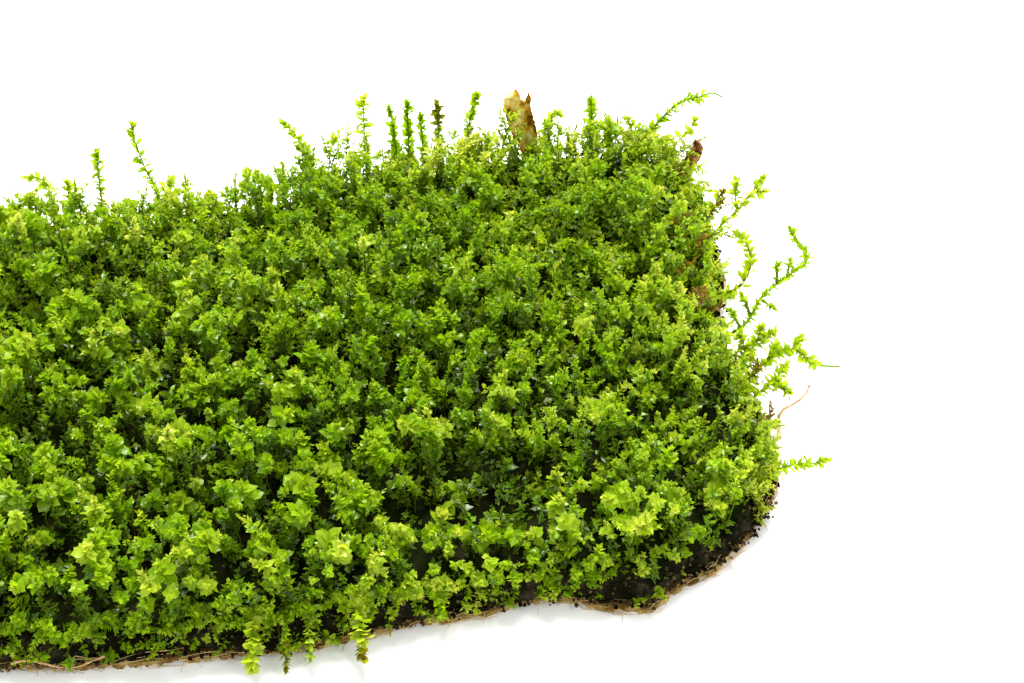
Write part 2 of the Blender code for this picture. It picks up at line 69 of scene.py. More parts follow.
MM = 0.001
SEED = 2024
BODY = "root"
ORIGIN_SHIFT = (-5.6, 4.35)
GOLDEN_ANGLE = math.radians(137.5)
SOIL_TOP = 7.0                  # where the shoots stand
SOIL_RIM = 3.4                  # height of the soil's widest outline
FACING = 0.6                    # how squarely a stretch of the rim faces a side to count as part of it
FOOT = 7.35                     # where the stray shoots' courses start
SWATCHES = 16                   # leaf colours along each side of the chart
SWATCH_PAD = 0.12               # of a swatch, kept clear at its border
SPAN_TICKS = 17                 # points that a smooth curve is worked out at between two of its own
GROUND_GAP = 0.1                # kept free between the ground and what is held inside the box


class LeafForm(Enum):
    """Outline of a leaf."""

    OVATE = "ovate"
    NARROW = "narrow"
    ROUND = "round"
    SIMPLE = "simple"


class Habit(Enum):
    """How a shoot of the cover grows."""

    ROSETTE = "rosette"
    BROAD_ROSETTE = "broad rosette"
    PLUME = "plume"
    FEATHER = "feather"
    FINE = "fine"
    SEEDLING = "seedling"
    TWIG = "twig"


@dataclass(frozen=True)
class Growth:
    """How the leaves of one kind of shoot are set on its stem.

    A crown is given from its outer leaves to its inner ones.
    """

    crown_leaves: int
    crown_depth: float
    crown_spread: tuple[float, float]   # angle of its leaves from the stem, in degrees
    crown_length: tuple[float, float]   # of its leaves
    stem_gap: float                     # between the leaves under the crown
    stem_spread: float
    stem_length: float
    width: float = 1.1
    form: LeafForm = LeafForm.OVATE
    twigs: int = 0                      # side twigs at most


GROWTHS = {
    Habit.ROSETTE: Growth(26, 3.0, (100.0, 22.0), (2.2, 0.95), 0.65, 74.0, 1.5),
    Habit.BROAD_ROSETTE: Growth(30, 3.6, (102.0, 22.0), (2.7, 1.05), 0.7, 78.0, 1.8, 1.1),
    Habit.PLUME: Growth(32, 6.0, (84.0, 28.0), (1.9, 0.8), 0.65, 70.0, 1.6, twigs=3),
    Habit.FEATHER: Growth(30, 7.0, (68.0, 24.0), (2.0, 0.85), 0.65, 60.0, 1.7, 1.1, LeafForm.NARROW, 3),
    Habit.FINE: Growth(26, 5.0, (82.0, 28.0), (1.6, 0.75), 0.55, 70.0, 1.5, twigs=3),
    Habit.SEEDLING: Growth(9, 2.6, (88.0, 30.0), (1.5, 0.9), 1.0, 70.0, 1.4, 1.0, LeafForm.SIMPLE),
    Habit.TWIG: Growth(10, 2.8, (78.0, 26.0), (1.5, 0.8), 0.6, 66.0, 1.2, 1.0, LeafForm.SIMPLE),
}


@dataclass(frozen=True)
class Landmark:
    """A head that stands out of the cover."""

    x: float
    y: float
    habit: Habit
    vigour: float
    tint: float
    height: float = 0.0             # of its tip, where it isn't the cover's own


LANDMARKS = (
    Landmark(0, -62, Habit.BROAD_ROSETTE, 1.3, 0.72),
    Landmark(7, -54, Habit.PLUME, 1.2, 0.64),
    Landmark(20, -49, Habit.BROAD_ROSETTE, 1.05, 0.78),
    Landmark(41, -53, Habit.ROSETTE, 1.1, 0.78),
    Landmark(54, -56, Habit.ROSETTE, 0.95, 0.62),
    Landmark(47, -48, Habit.ROSETTE, 1.0, 0.68),
    Landmark(73, -51, Habit.ROSETTE, 1.05, 0.8),
    Landmark(38, -42, Habit.PLUME, 1.15, 0.7),
    Landmark(36, -57, Habit.ROSETTE, 0.9, 0.75),
    Landmark(51, -59, Habit.ROSETTE, 0.9, 0.76),
    Landmark(63, -58, Habit.ROSETTE, 0.8, 0.68),
    Landmark(-47, -62, Habit.BROAD_ROSETTE, 1.1, 0.8),
    Landmark(-36, -66, Habit.BROAD_ROSETTE, 1.1, 0.8),
    Landmark(18, -33, Habit.PLUME, 1.5, 0.7),
    Landmark(21, -28, Habit.PLUME, 1.3, 0.72),
    Landmark(53, -8, Habit.PLUME, 1.3, 0.72),
    Landmark(-3, -38, Habit.BROAD_ROSETTE, 1.1, 0.7),
    Landmark(-12, -21, Habit.PLUME, 1.2, 0.68),
    Landmark(-27, -49, Habit.PLUME, 1.2, 0.72),
    Landmark(-17, -54, Habit.PLUME, 1.2, 0.68),
    Landmark(-15, -63, Habit.ROSETTE, 1.05, 0.76),
    Landmark(-49, -3, Habit.PLUME, 1.35, 0.72),
    Landmark(-38, -4, Habit.PLUME, 1.25, 0.75),
    Landmark(8, 18, Habit.ROSETTE, 0.9, 0.86),
    Landmark(62, -39, Habit.PLUME, 1.1, 0.68),
    Landmark(65, -4, Habit.FEATHER, 1.25, 0.66),
    Landmark(50, 16, Habit.FEATHER, 1.2, 0.7),
    Landmark(44.2, 60.4, Habit.FEATHER, 0.95, 0.72, 27.0),
    Landmark(41.6, 60.6, Habit.PLUME, 0.9, 0.74, 26.0),
    Landmark(46.2, 60, Habit.FINE, 0.9, 0.7, 21.0),
    Landmark(-33.8, 54.4, Habit.PLUME, 0.9, 0.7, 19.0),
    Landmark(-31.2, 54.8, Habit.PLUME, 0.85, 0.68, 18.0),
    Landmark(-4.2, 58.6, Habit.FINE, 0.9, 0.72, 21.5),
    Landmark(-1.8, 58.9, Habit.PLUME, 0.85, 0.66, 20.0),
    Landmark(0.9, 59.1, Habit.FINE, 0.9, 0.72, 23.4),
    Landmark(3.7, 59.3, Habit.PLUME, 0.9, 0.7, 24.0),
    Landmark(6.3, 59.5, Habit.FINE, 0.95, 0.74, 24.4),
    Landmark(56, 61.6, Habit.FINE, 0.85, 0.72, 20.5),
    Landmark(59.4, 61.5, Habit.FEATHER, 0.85, 0.68, 19.5),
    Landmark(66, 61.3, Habit.FINE, 0.9, 0.72, 22.2),
    Landmark(69, 61.3, Habit.FEATHER, 0.9, 0.7, 21.5),
    Landmark(72, 61.2, Habit.FINE, 0.9, 0.74, 21.8),
    Landmark(75, 61, Habit.PLUME, 0.85, 0.7, 20.0),
    Landmark(48.6, 60, Habit.FINE, 0.85, 0.6, 16.5),
    Landmark(50.8, 61, Habit.FINE, 0.9, 0.66, 17.5),
    Landmark(85.2, 56.6, Habit.FINE, 0.85, 0.76, 14.5),
    Landmark(87.2, 55.4, Habit.FEATHER, 0.8, 0.72, 11.5),
    Landmark(90.4, 60.6, Habit.FEATHER, 0.8, 0.72, 14.0),
    Landmark(82.6, 57.6, Habit.FEATHER, 0.9, 0.74, 17.0),
)
LANDMARK_ROOM = 2.6             # kept free of other heads round a landmark, for a vigour of 1

# Rows of the fringe: lowest and highest tip, and how far out it leans
FRINGE_ROWS = ((2.8, 5.5, 2.2), (5.5, 9.0, 1.7), (9.0, 12.5, 0.9), (12.0, 17.0, 0.0))
FRINGE_LOW = 10.0               # rows that end below it have gaps

# Hollows in the cover, where tall shoots are left out and the short ones are tinted darker as painted shade:
# X, Y and half width
HOLLOWS = (
    (67, 12, 3.4), (58, 10, 3.0), (49, 14, 2.8), (84, -14, 2.6), (13, -47, 3.6), (19, -49, 3.4),
    (28, -47.5, 3.6), (38, -47, 3.4), (-53, -56, 3.0), (-36, -53, 2.8), (-43, -21, 3.2), (-60, -40, 3.0),
    (-30, -20, 3.0), (23, -22, 2.8), (-50, 18, 3.0), (55, -67, 3.0), (67, -68, 3.0), (78, -28, 2.8),
    (-21, 33, 2.8), (74, 40, 3.0),
)


@dataclass(frozen=True)
class Stray:
    """A single shoot at the rim: its course from the foot to the tip, and how it is clothed."""

    node: str
    course: tuple
    leaf: float = 2.5               # length of its leaves
    gap: float = 0.2                # between them along the stem
    spread: float = 58.0            # their angle from it, in degrees
    tint: float = 0.66
    brown: float = 0.0              # share of the shoot, from its tip, that is brown
    form: LeafForm = LeafForm.OVATE
    width: float = 0.8
    profile: tuple = (1.15, 0.95, 0.9, 0.65)    # leaf length from foot to tip, of the usual
    bare_tip: float = 0.0           # length of bare stem at its end
    stem: float = 0.27              # radius of the stem
    stem_age: float = 0.15
    twigs: tuple = ()


STRAYS = (
    Stray("stray_shoot_hooked",
          ((-61.5, 48.2, FOOT), (-61.3, 51.6, 13.5), (-62, 53.5, 18.5), (-64.5, 54, 20.5),
           (-67.5, 53.8, 20.5)),
          tint=0.74),
    Stray("stray_shoot_beside_hook", ((-57.3, 48.3, FOOT), (-57.6, 51.6, 14), (-57.6, 54.6, 20)),
          tint=0.72),
    Stray("stray_shoot_club", ((-50, 48.4, FOOT), (-50.2, 51.4, 16), (-49.8, 54.5, 28)),
          leaf=2.0, profile=(0.7, 0.75, 1.15, 0.8)),
    Stray("stray_shoot_tall",
          ((-36.5, 49.3, FOOT), (-37.5, 52, 15), (-39.8, 53.6, 22), (-41.4, 56, 30), (-40.6, 58, 33)),
          leaf=2.4, gap=0.32, tint=0.6, profile=(0.6, 0.8, 1.15, 0.7)),
    Stray("stray_shoot_back_left",
          ((-1.5, 56.7, FOOT), (-2.5, 58.5, 15), (-5, 59.6, 22.5), (-9, 61.6, 26.6)),
          spread=62, tint=0.7),
    Stray("stray_shoot_round_head", ((10, 58.6, FOOT), (10.2, 59.8, 18), (10.6, 61, 32.6)),
          leaf=2.2, gap=0.28, spread=72, tint=0.72, profile=(0.7, 0.8, 1.1, 1.0)),
    Stray("stray_shoot_fork_left", ((17.4, 59.5, FOOT), (17.4, 60.9, 16.5), (16.4, 63, 28.3)),
          gap=0.26, spread=38, tint=0.5, width=1.0),
    Stray("stray_shoot_fork_right", ((20.8, 59.9, FOOT), (20.4, 61.2, 17), (20.7, 62.5, 30)),
          gap=0.26, spread=38, tint=0.52, width=1.0),
    Stray("stray_shoot_stub", ((24.4, 60.3, FOOT), (23.8, 62, 14), (23.6, 64, 25)),
          gap=0.28, spread=40, tint=0.5),
    Stray("stray_shoot_brown_tip", ((28, 60.8, FOOT), (27.6, 61.8, 17), (27.2, 62, 28.8)),
          leaf=2.1, spread=66, tint=0.5, brown=0.3, profile=(0.8, 0.85, 1.1, 0.9)),
    Stray("stray_shoot_jointed",
          ((34.4, 61.6, FOOT), (34.4, 62.2, 17), (35.4, 63, 24.5), (37.3, 62.6, 30.6)),
          spread=52, tint=0.6, stem_age=0.4),
    Stray("stray_shoot_arch", ((53.2, 63, FOOT), (53.2, 65.2, 14), (54.9, 66.4, 19), (57.8, 65.4, 18)),
          tint=0.74),
    Stray("stray_shoot_finger", ((64, 62.9, FOOT), (63.8, 63.8, 17), (63.1, 63.4, 26)),
          spread=46, tint=0.6),
    Stray("stray_shoot_whip",
          ((74.5, 60.9, FOOT), (75.5, 61.2, 13), (79, 61, 18.6), (84, 62.4, 23), (89, 63, 23.8),
           (92, 64, 24), (94.5, 63.6, 22.8)),
          tint=0.66, bare_tip=5.5, stem=0.5),
    Stray("stray_shoot_round_leaves",
          ((80.2, 58.2, FOOT), (83, 60, 12), (87, 61.8, 15.5), (89.2, 63.6, 18.5)),
          leaf=2.8, gap=0.34, spread=76, tint=0.76, form=LeafForm.ROUND, width=1.0),
    Stray("stray_shoot_right_back",
          ((85.4, 31, FOOT), (89.8, 32.6, 11), (93, 34, 13.4), (97, 37, 16.2), (100.8, 40.4, 19)),
          leaf=2.5, gap=0.22, tint=0.74,
          twigs=(((93, 34, 13.4), (93, 37, 16.5), (94, 39, 18)), ((97, 37, 16.2), (99.5, 36, 17)))),
    Stray("stray_shoot_right_short", ((85.1, 37, FOOT), (88.5, 37.8, 11.5), (91.4, 39.8, 16.6)),
          spread=62, tint=0.72, brown=0.15),
    Stray("stray_shoot_arched_stem",
          ((82.1, 12.2, FOOT), (85, 10.8, 10.2), (88.2, 9.8, 12), (91, 11.4, 14), (92.8, 16.4, 15),
           (92.3, 22.4, 15), (90.3, 27.4, 14)),
          gap=0.3, spread=62, tint=0.74, stem=0.4, stem_age=0.45),
    Stray("stray_shoot_curly",
          ((81.9, -2.4, FOOT), (85.5, -2.5, 11), (89, -1.4, 13.4), (92.3, 3.2, 15), (96.5, 6.6, 16),
           (101.5, 10.4, 16), (104.8, 13.8, 16), (103.6, 18.2, 16.5), (101.8, 22.6, 19)),
          leaf=1.75, gap=0.2, spread=50, tint=0.62, form=LeafForm.NARROW, width=1.1,
          profile=(0.9, 0.9, 1.15, 0.95), stem=0.42,
          twigs=(((96.5, 6.6, 16), (96.8, 9.4, 19.4)), ((99, 8.5, 16), (100.2, 11, 18.4)),
                 ((89.6, -0.4, 13.8), (88.2, 2.4, 17)), ((87, -2, 12.4), (85.2, -0.4, 15.6)),
                 ((92.3, 3.2, 15), (95, 1.4, 14)))),
    Stray("stray_shoot_plume", ((83.7, -12.2, FOOT), (86.3, -10.9, 11), (88.8, -8.9, 14), (91.4, -6, 18.4)),
          leaf=2.6, gap=0.15, spread=58, tint=0.76, form=LeafForm.NARROW, width=1.3,
          twigs=(((87, -10, 12), (86, -6.5, 15)), ((89, -8.8, 14.2), (92.6, -8.4, 16.4)))),
    Stray("stray_shoot_dark_joint",
          ((84.8, -16.4, FOOT), (87.4, -15.2, 11), (90, -13.9, 13.2), (93, -12.6, 14.2),
           (96.5, -11.4, 14), (99, -11.8, 12.4), (102, -12.2, 9.6), (107, -12.5, 8.8)),
          leaf=2.3, gap=0.17, tint=0.68, bare_tip=5.5, stem=0.55,
          twigs=(((96.5, -11.4, 14), (98.4, -9.5, 15)), ((91, -13.4, 13.6), (93, -10.4, 15.4)))),
    Stray("stray_shoot_split_tip",
          ((85.9, -20.8, FOOT), (88.4, -19.6, 10.8), (91, -18.6, 12), (93.6, -17.8, 12.4)),
          tint=0.72,
          twigs=(((91, -18.6, 12), (94, -21.6, 11.6)), ((91, -18.6, 12), (94.4, -15.4, 13.4)))),
    Stray("stray_shoot_low_right",
          ((82.6, -43.2, FOOT), (85.6, -43, 11), (88.8, -42.2, 12.2), (94.6, -41.7, 12), (99, -40.9, 12)),
          leaf=2.2, spread=60, tint=0.72, profile=(1.0, 1.1, 0.9, 0.6)),
    Stray("drooping_shoot_pale",
          ((-18, -65.4, FOOT), (-18, -68, 9.4), (-18.3, -72, 7.6), (-18.8, -75.2, 2.6)),
          leaf=2.7, gap=0.17, tint=0.8, width=1.0),
    Stray("drooping_shoot_dark",
          ((-12, -64.8, FOOT), (-12, -67.6, 9.2), (-12.2, -72, 7), (-12.5, -75.6, 2.3)),
          leaf=1.7, gap=0.15, spread=38, tint=0.5, brown=0.5),
    Stray("drooping_shoot_thin",
          ((-7.5, -64.2, FOOT), (-7.6, -67, 9), (-7.7, -70.6, 6.6), (-7.8, -73.4, 2.4)),
          leaf=1.7, tint=0.7),
    Stray("drooping_shoot_yellow", ((1.6, -63, FOOT), (1.7, -66.4, 9.8), (2, -71, 8.2), (2, -75.2, 3)),
          leaf=2.9, spread=70, tint=0.78, brown=0.15, width=1.0),
    Stray("drooping_shoot_stub", ((16.4, -60.8, FOOT), (17, -64.4, 9.2), (17.8, -68.6, 6)),
          spread=56, tint=0.55),
)


def unit(rows: np.ndarray) -> np.ndarray:
    """Scale each row to length one.

    Args:
        rows: Vectors, one a row.

    Returns:
        The rows at length one.
    """
    return rows / np.maximum(np.linalg.norm(rows, axis=-1, keepdims=True), 1e-9)


def wander(x: float, y: float, size: float, channel: float) -> float:
    """Smooth irregularity over the ground.

    Args:
        x: Place along the strip.
        y: Place across the strip.
        size: Distance over which it changes.
        channel: Picks one of many unlike patterns.

    Returns:
        A value from about -1 to 1.
    """
    return 1.5 * noise.noise(Vector((x / size, y / size, channel)))


def shifted(points: tuple) -> np.ndarray:
    """Bring places that count from the strip's middle into the frame.

    Args:
        points: Places, each with X, Y and Z.

    Returns:
        The places as rows.
    """
    return np.array(points, float) + np.array([*ORIGIN_SHIFT, 0.0])


def smooth_course(points: np.ndarray, count: int) -> np.ndarray:
    """Even points on the smooth curve through the given ones.

    Args:
        points: The curve's own points.
        count: How many points to return.

    Returns:
        The even points as rows.
    """
    knots = np.array(points, float)
    padded = np.vstack([2 * knots[0] - knots[1], knots, 2 * knots[-1] - knots[-2]])
    ticks = np.linspace(0.0, 1.0, SPAN_TICKS)[:, None]
    dense = [knots[:1]]
    for a, b, c, d in zip(padded, padded[1:], padded[2:], padded[3:]):
        part = 0.5 * (2 * b + (c - a) * ticks + (2 * a - 5 * b + 4 * c - d) * ticks ** 2
                      + (3 * b - a - 3 * c + d) * ticks ** 3)
        dense.append(part[1:])
    line = np.vstack(dense)
    along = distances(line)
    wanted = np.linspace(0.0, along[-1], count)
    return np.stack([np.interp(wanted, along, line[:, axis]) for axis in range(3)], axis=1)


def distances(line: np.ndarray) -> np.ndarray:
    """Distance of each point of a line from its start, along the line.

    Args:
        line: Points along it.

    Returns:
        One distance for each point.
    """
    return np.concatenate([[0.0], np.cumsum(np.linalg.norm(np.diff(line, axis=0), axis=1))])


def directions(course: np.ndarray) -> tuple[np.ndarray, np.ndarray, np.ndarray]:
    """Directions along and across a course at each of its points.

    Args:
        course: Points along it.

    Returns:
        The way along, and two ways across.
    """
    along = unit(np.gradient(course, axis=0))
    across = np.zeros_like(along)
    previous = np.array([1.0, 0.0, 0.0]) if abs(along[0, 0]) < 0.9 else np.array([0.0, 1.0, 0.0])
    for index, way in enumerate(along):
        previous = previous - way * (previous @ way)
        previous = previous / np.linalg.norm(previous)
        across[index] = previous
    return along, across, np.cross(along, across)


def deselect_all() -> None:
    """Leave edit mode and select nothing."""
    if bpy.context.object and bpy.context.object.mode != "OBJECT":
        bpy.ops.object.mode_set(mode="OBJECT")
    bpy.ops.object.select_all(action="DESELECT")


def make_object(name: str, points: np.ndarray, faces: np.ndarray, chart: np.ndarray | None = None,
                tone: np.ndarray | None = None) -> bpy.types.Object:
    """Make a smooth mesh of triangles from arrays.

    Args:
        name: The object's name.
        points: Corner places in millimetres.
        faces: Three corner numbers for each triangle.
        chart: A colour chart place for each corner, if the piece is leafy.
        tone: How pale the stuff is at each corner, if the piece is earthy.

    Returns:
        The new object, at the origin.
    """
    mesh = bpy.data.meshes.new(name)
    mesh.vertices.add(len(points))
    mesh.vertices.foreach_set("co", (points * MM).astype(np.float32).ravel())
    mesh.loops.add(faces.size)
    mesh.loops.foreach_set("vertex_index", faces.astype(np.int32).ravel())
    mesh.polygons.add(len(faces))
    mesh.polygons.foreach_set("loop_start", np.arange(0, faces.size, 3, dtype=np.int32))
    mesh.polygons.foreach_set("use_smooth", np.ones(len(faces), bool))
    mesh.update(calc_edges=True)
    if chart is not None:
        layer = mesh.uv_layers.new(name="OFBake")
        layer.data.foreach_set("uv", chart[faces.ravel()].astype(np.float32).ravel())
    if tone is not None:
        layer = mesh.attributes.new("tone", "FLOAT", "POINT")
        layer.data.foreach_set("value", tone.astype(np.float32))
    piece = bpy.data.objects.new(name, mesh)
    bpy.context.scene.collection.objects.link(piece)
    return piece


def join_onto(piece: bpy.types.Object, extra: bpy.types.Object) -> None:
    """Join one object onto another.

    Args:
        piece: The object that stays.
        extra: The object that becomes part of it.
    """
    deselect_all()
    extra.select_set(True)
    piece.select_set(True)
    bpy.context.view_layer.objects.active = piece
    bpy.ops.object.join()


def hand_over(piece: bpy.types.Object, node: str) -> None:
    """Put a finished piece in the place of its solid.

    Args:
        piece: The finished piece.
        node: The solid that it stands for.
    """
    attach(piece, BODY)
    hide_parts(node)
    log.info("%s: %d triangles", piece.name, len(piece.data.polygons))


@dataclass(frozen=True)
class Blade:
    """A leaf modelled once, lying along Y from its base at the origin, one unit long.

    Each row across the leaf gives its place along it and its width there.
    """

    rows: tuple
    fold: float = 0.05              # how far its sides rise over its midrib
    curl: float = 0.1               # how far its tip droops
    row_reach: float = 0.05         # how near a corner is to the row that it belongs to
    rib_half: float = 0.02          # half width of the midrib, which the fold leaves down

    def model(self) -> tuple[np.ndarray, np.ndarray, np.ndarray]:
        """Shape the leaf from a small grid.

        Returns:
            Corner places, triangles, and each corner's place on a colour swatch.
        """
        deselect_all()
        steps = len(self.rows) - 1
        bpy.ops.mesh.primitive_grid_add(
            x_subdivisions=2, y_subdivisions=steps, size=1.0, location=(0.0, 0.5, 0.0))
        leaf = bpy.context.object
        bpy.ops.object.transform_apply(location=True, rotation=False, scale=False)
        bpy.ops.object.mode_set(mode="EDIT")
        for index, (place, width) in enumerate(self.rows):
            start = index / steps
            self._select(leaf, lambda co, start=start: abs(co.y - start) < self.row_reach)
            bpy.ops.transform.resize(value=(max(width, 1e-5), 1.0, 1.0), center_override=(0.0, start, 0.0))
            bpy.ops.transform.translate(value=(0.0, place - start, -self.curl * place ** 3))
        self._select(leaf, lambda co: abs(co.x) > self.rib_half)
        bpy.ops.transform.translate(value=(0.0, 0.0, self.fold))
        bpy.ops.mesh.select_all(action="SELECT")
        bpy.ops.mesh.remove_doubles(threshold=0.001)
        bpy.ops.mesh.quads_convert_to_tris()
        bpy.ops.object.mode_set(mode="OBJECT")
        mesh = leaf.data
        places = np.array([vert.co for vert in mesh.vertices])
        faces = np.array([tuple(face.vertices) for face in mesh.polygons])
        widest = max(width for _, width in self.rows)
        swatch = np.stack([0.5 + places[:, 0] / widest, places[:, 1]], axis=1)
        bpy.data.objects.remove(leaf, do_unlink=True)
        return places, faces, swatch

    @staticmethod
    def _select(leaf: bpy.types.Object, test: Callable) -> None:
        """Select corners of a leaf in edit mode.

        Args:
            leaf: The leaf.
            test: Says of a corner's place whether it is selected.
        """
        bm = bmesh.from_edit_mesh(leaf.data)
        for vert in bm.verts:
            vert.select = bool(test(vert.co))
        bm.select_flush_mode()
        bmesh.update_edit_mesh(leaf.data)


BLADES = {
    LeafForm.OVATE: Blade(((0.0, 0.0), (0.32, 0.6), (0.7, 0.52), (1.0, 0.0))),
    LeafForm.NARROW: Blade(((0.0, 0.0), (0.32, 0.38), (0.68, 0.28), (1.0, 0.0)), fold=0.04, curl=0.12),
    LeafForm.ROUND: Blade(((0.0, 0.0), (0.3, 0.72), (0.72, 0.74), (1.0, 0.0)), fold=0.04, curl=0.05),
    LeafForm.SIMPLE: Blade(((0.0, 0.0), (0.45, 0.6), (1.0, 0.0))),
}


class Foliage:
    """Leaves and stems gathered as arrays, to become one piece."""

    ruffle = 0.055                  # how far a leaf's surface is thrown up and down, of its length
    flat_part = 0.1                 # of a leaf, at its base, that isn't ruffled
    stem_taper = 0.5
    stem_across = (0.2, 0.35, 0.3)  # places of a stem's three sides across its swatch
    stem_up = (0.45, 0.8)           # places of a stem's two ends up the swatch

    def __init__(self, blades: dict, rng: np.random.Generator) -> None:
        """Start empty.

        Args:
            blades: The modelled leaf of each form.
            rng: Source of chance for the leaves' ruffles.
        """
        self.blades = blades
        self.rng = rng
        self.points: list = []
        self.faces: list = []
        self.chart: list = []
        self.corners = 0

    def _add(self, points: np.ndarray, faces: np.ndarray, chart: np.ndarray) -> None:
        """Take in one batch of mesh.

        Args:
            points: Corner places.
            faces: Triangles of the batch.
            chart: Each corner's place on the colour chart.
        """
        self.points.append(points)
        self.faces.append(faces + self.corners)
        self.chart.append(chart)
        self.corners += len(points)

    @staticmethod
    def _cell(swatch: np.ndarray) -> np.ndarray:
        """Corner of the chart's swatch for a tint and an age."""
        return np.floor(np.clip(swatch, 0.0, 0.999) * SWATCHES)

    def add_leaves(self, form: LeafForm, base: np.ndarray, along: np.ndarray, face: np.ndarray,
                   size: np.ndarray, swatch: np.ndarray) -> None:
        """Place copies of a leaf.

        Args:
            form: Which leaf.
            base: Where each leaf leaves the stem.
            along: The way each leaf points.
            face: The way its upper face looks.
            size: Length, width factor and bend factor of each leaf.
            swatch: Tint and age of each leaf, from 0 to 1.
        """
        places, faces, local = self.blades[form]
        face = unit(face - along * np.sum(face * along, axis=1, keepdims=True))
        side = np.cross(along, face)
        length, width, bend = (size[:, column, None, None] for column in range(3))
        count, corners = len(base), len(places)
        ruffled = places[None, :, 1, None] > self.flat_part
        ruffle = self.rng.normal(0.0, self.ruffle, (count, corners, 1)) * ruffled
        points = base[:, None] + length * (
            places[None, :, 1, None] * along[:, None]
            + places[None, :, 0, None] * width * side[:, None]
            + (places[None, :, 2, None] * bend + ruffle) * face[:, None])
        joined = (faces[None] + (corners * np.arange(count))[:, None, None]).reshape(-1, 3)
        inside = SWATCH_PAD + (1.0 - 2.0 * SWATCH_PAD) * local
        chart = (self._cell(swatch)[:, None] + inside[None]) / SWATCHES
        self._add(points.reshape(-1, 3), joined, chart.reshape(-1, 2))

    def add_stem(self, course: np.ndarray, radius: float, tint: float, age: float) -> None:
        """Add a thin three-sided stem that tapers to its tip.

        Args:
            course: Points along the stem.
            radius: Its radius at the foot.
            tint: Its tint on the colour chart.
            age: Its age on the colour chart.
        """
        points, faces = tube(course, radius, self.stem_taper)
        count = len(course)
        up = np.linspace(*self.stem_up, count)
        local = np.stack([np.tile(self.stem_across, count), np.repeat(up, 3)], axis=1)
        self._add(points, faces, (self._cell(np.array([tint, age])) + local) / SWATCHES)

    def make(self, name: str, material: bpy.types.Material) -> bpy.types.Object:
        """Join all that was gathered into one dressed object, kept inside the solids' box.

        Args:
            name: The object's name.
            material: What it is dressed in.

        Returns:
            The object.
        """
        points = in_box(np.vstack(self.points))
        piece = make_object(name, points, np.vstack(self.faces), chart=np.vstack(self.chart))
        piece.data.materials.append(material)
        return piece


def in_box(points: np.ndarray, margin: float = 0.0) -> np.ndarray:
    """Hold places inside the solids' box, and a little above the ground.

    Args:
        points: The places.
        margin: How far from the box they stay.

    Returns:
        The places, moved where they lay outside.
    """
    low, high = (np.array(corner) / MM for corner in CAD_BOX)
    return np.clip(points, low + margin + (0.0, 0.0, GROUND_GAP), high - margin)


def tube(course: np.ndarray, radius: float, taper: float) -> tuple[np.ndarray, np.ndarray]:
    """Three-sided tube, closed at both ends.

    Args:
        course: Points along it.
        radius: Radius at its start.
        taper: Radius at its end, of that at its start.

    Returns:
        Corner places and triangles.
    """
    _, across, other = directions(course)
    count = len(course)
    turns = 2.0 * math.pi * np.arange(3) / 3.0
    ring = np.cos(turns)[None, :, None] * across[:, None] + np.sin(turns)[None, :, None] * other[:, None]
    thick = radius * np.linspace(1.0, taper, count)[:, None, None]
    points = (course[:, None] + thick * ring).reshape(-1, 3)
    faces = [(2, 1, 0)]
    for row in range(count - 1):
        for side in range(3):
            a, b = 3 * row + side, 3 * row + (side + 1) % 3
            faces += [(a, b, b + 3), (a, b + 3, a + 3)]
    top = 3 * (count - 1)
    faces.append((top, top + 1, top + 2))
    return points, np.array(faces)


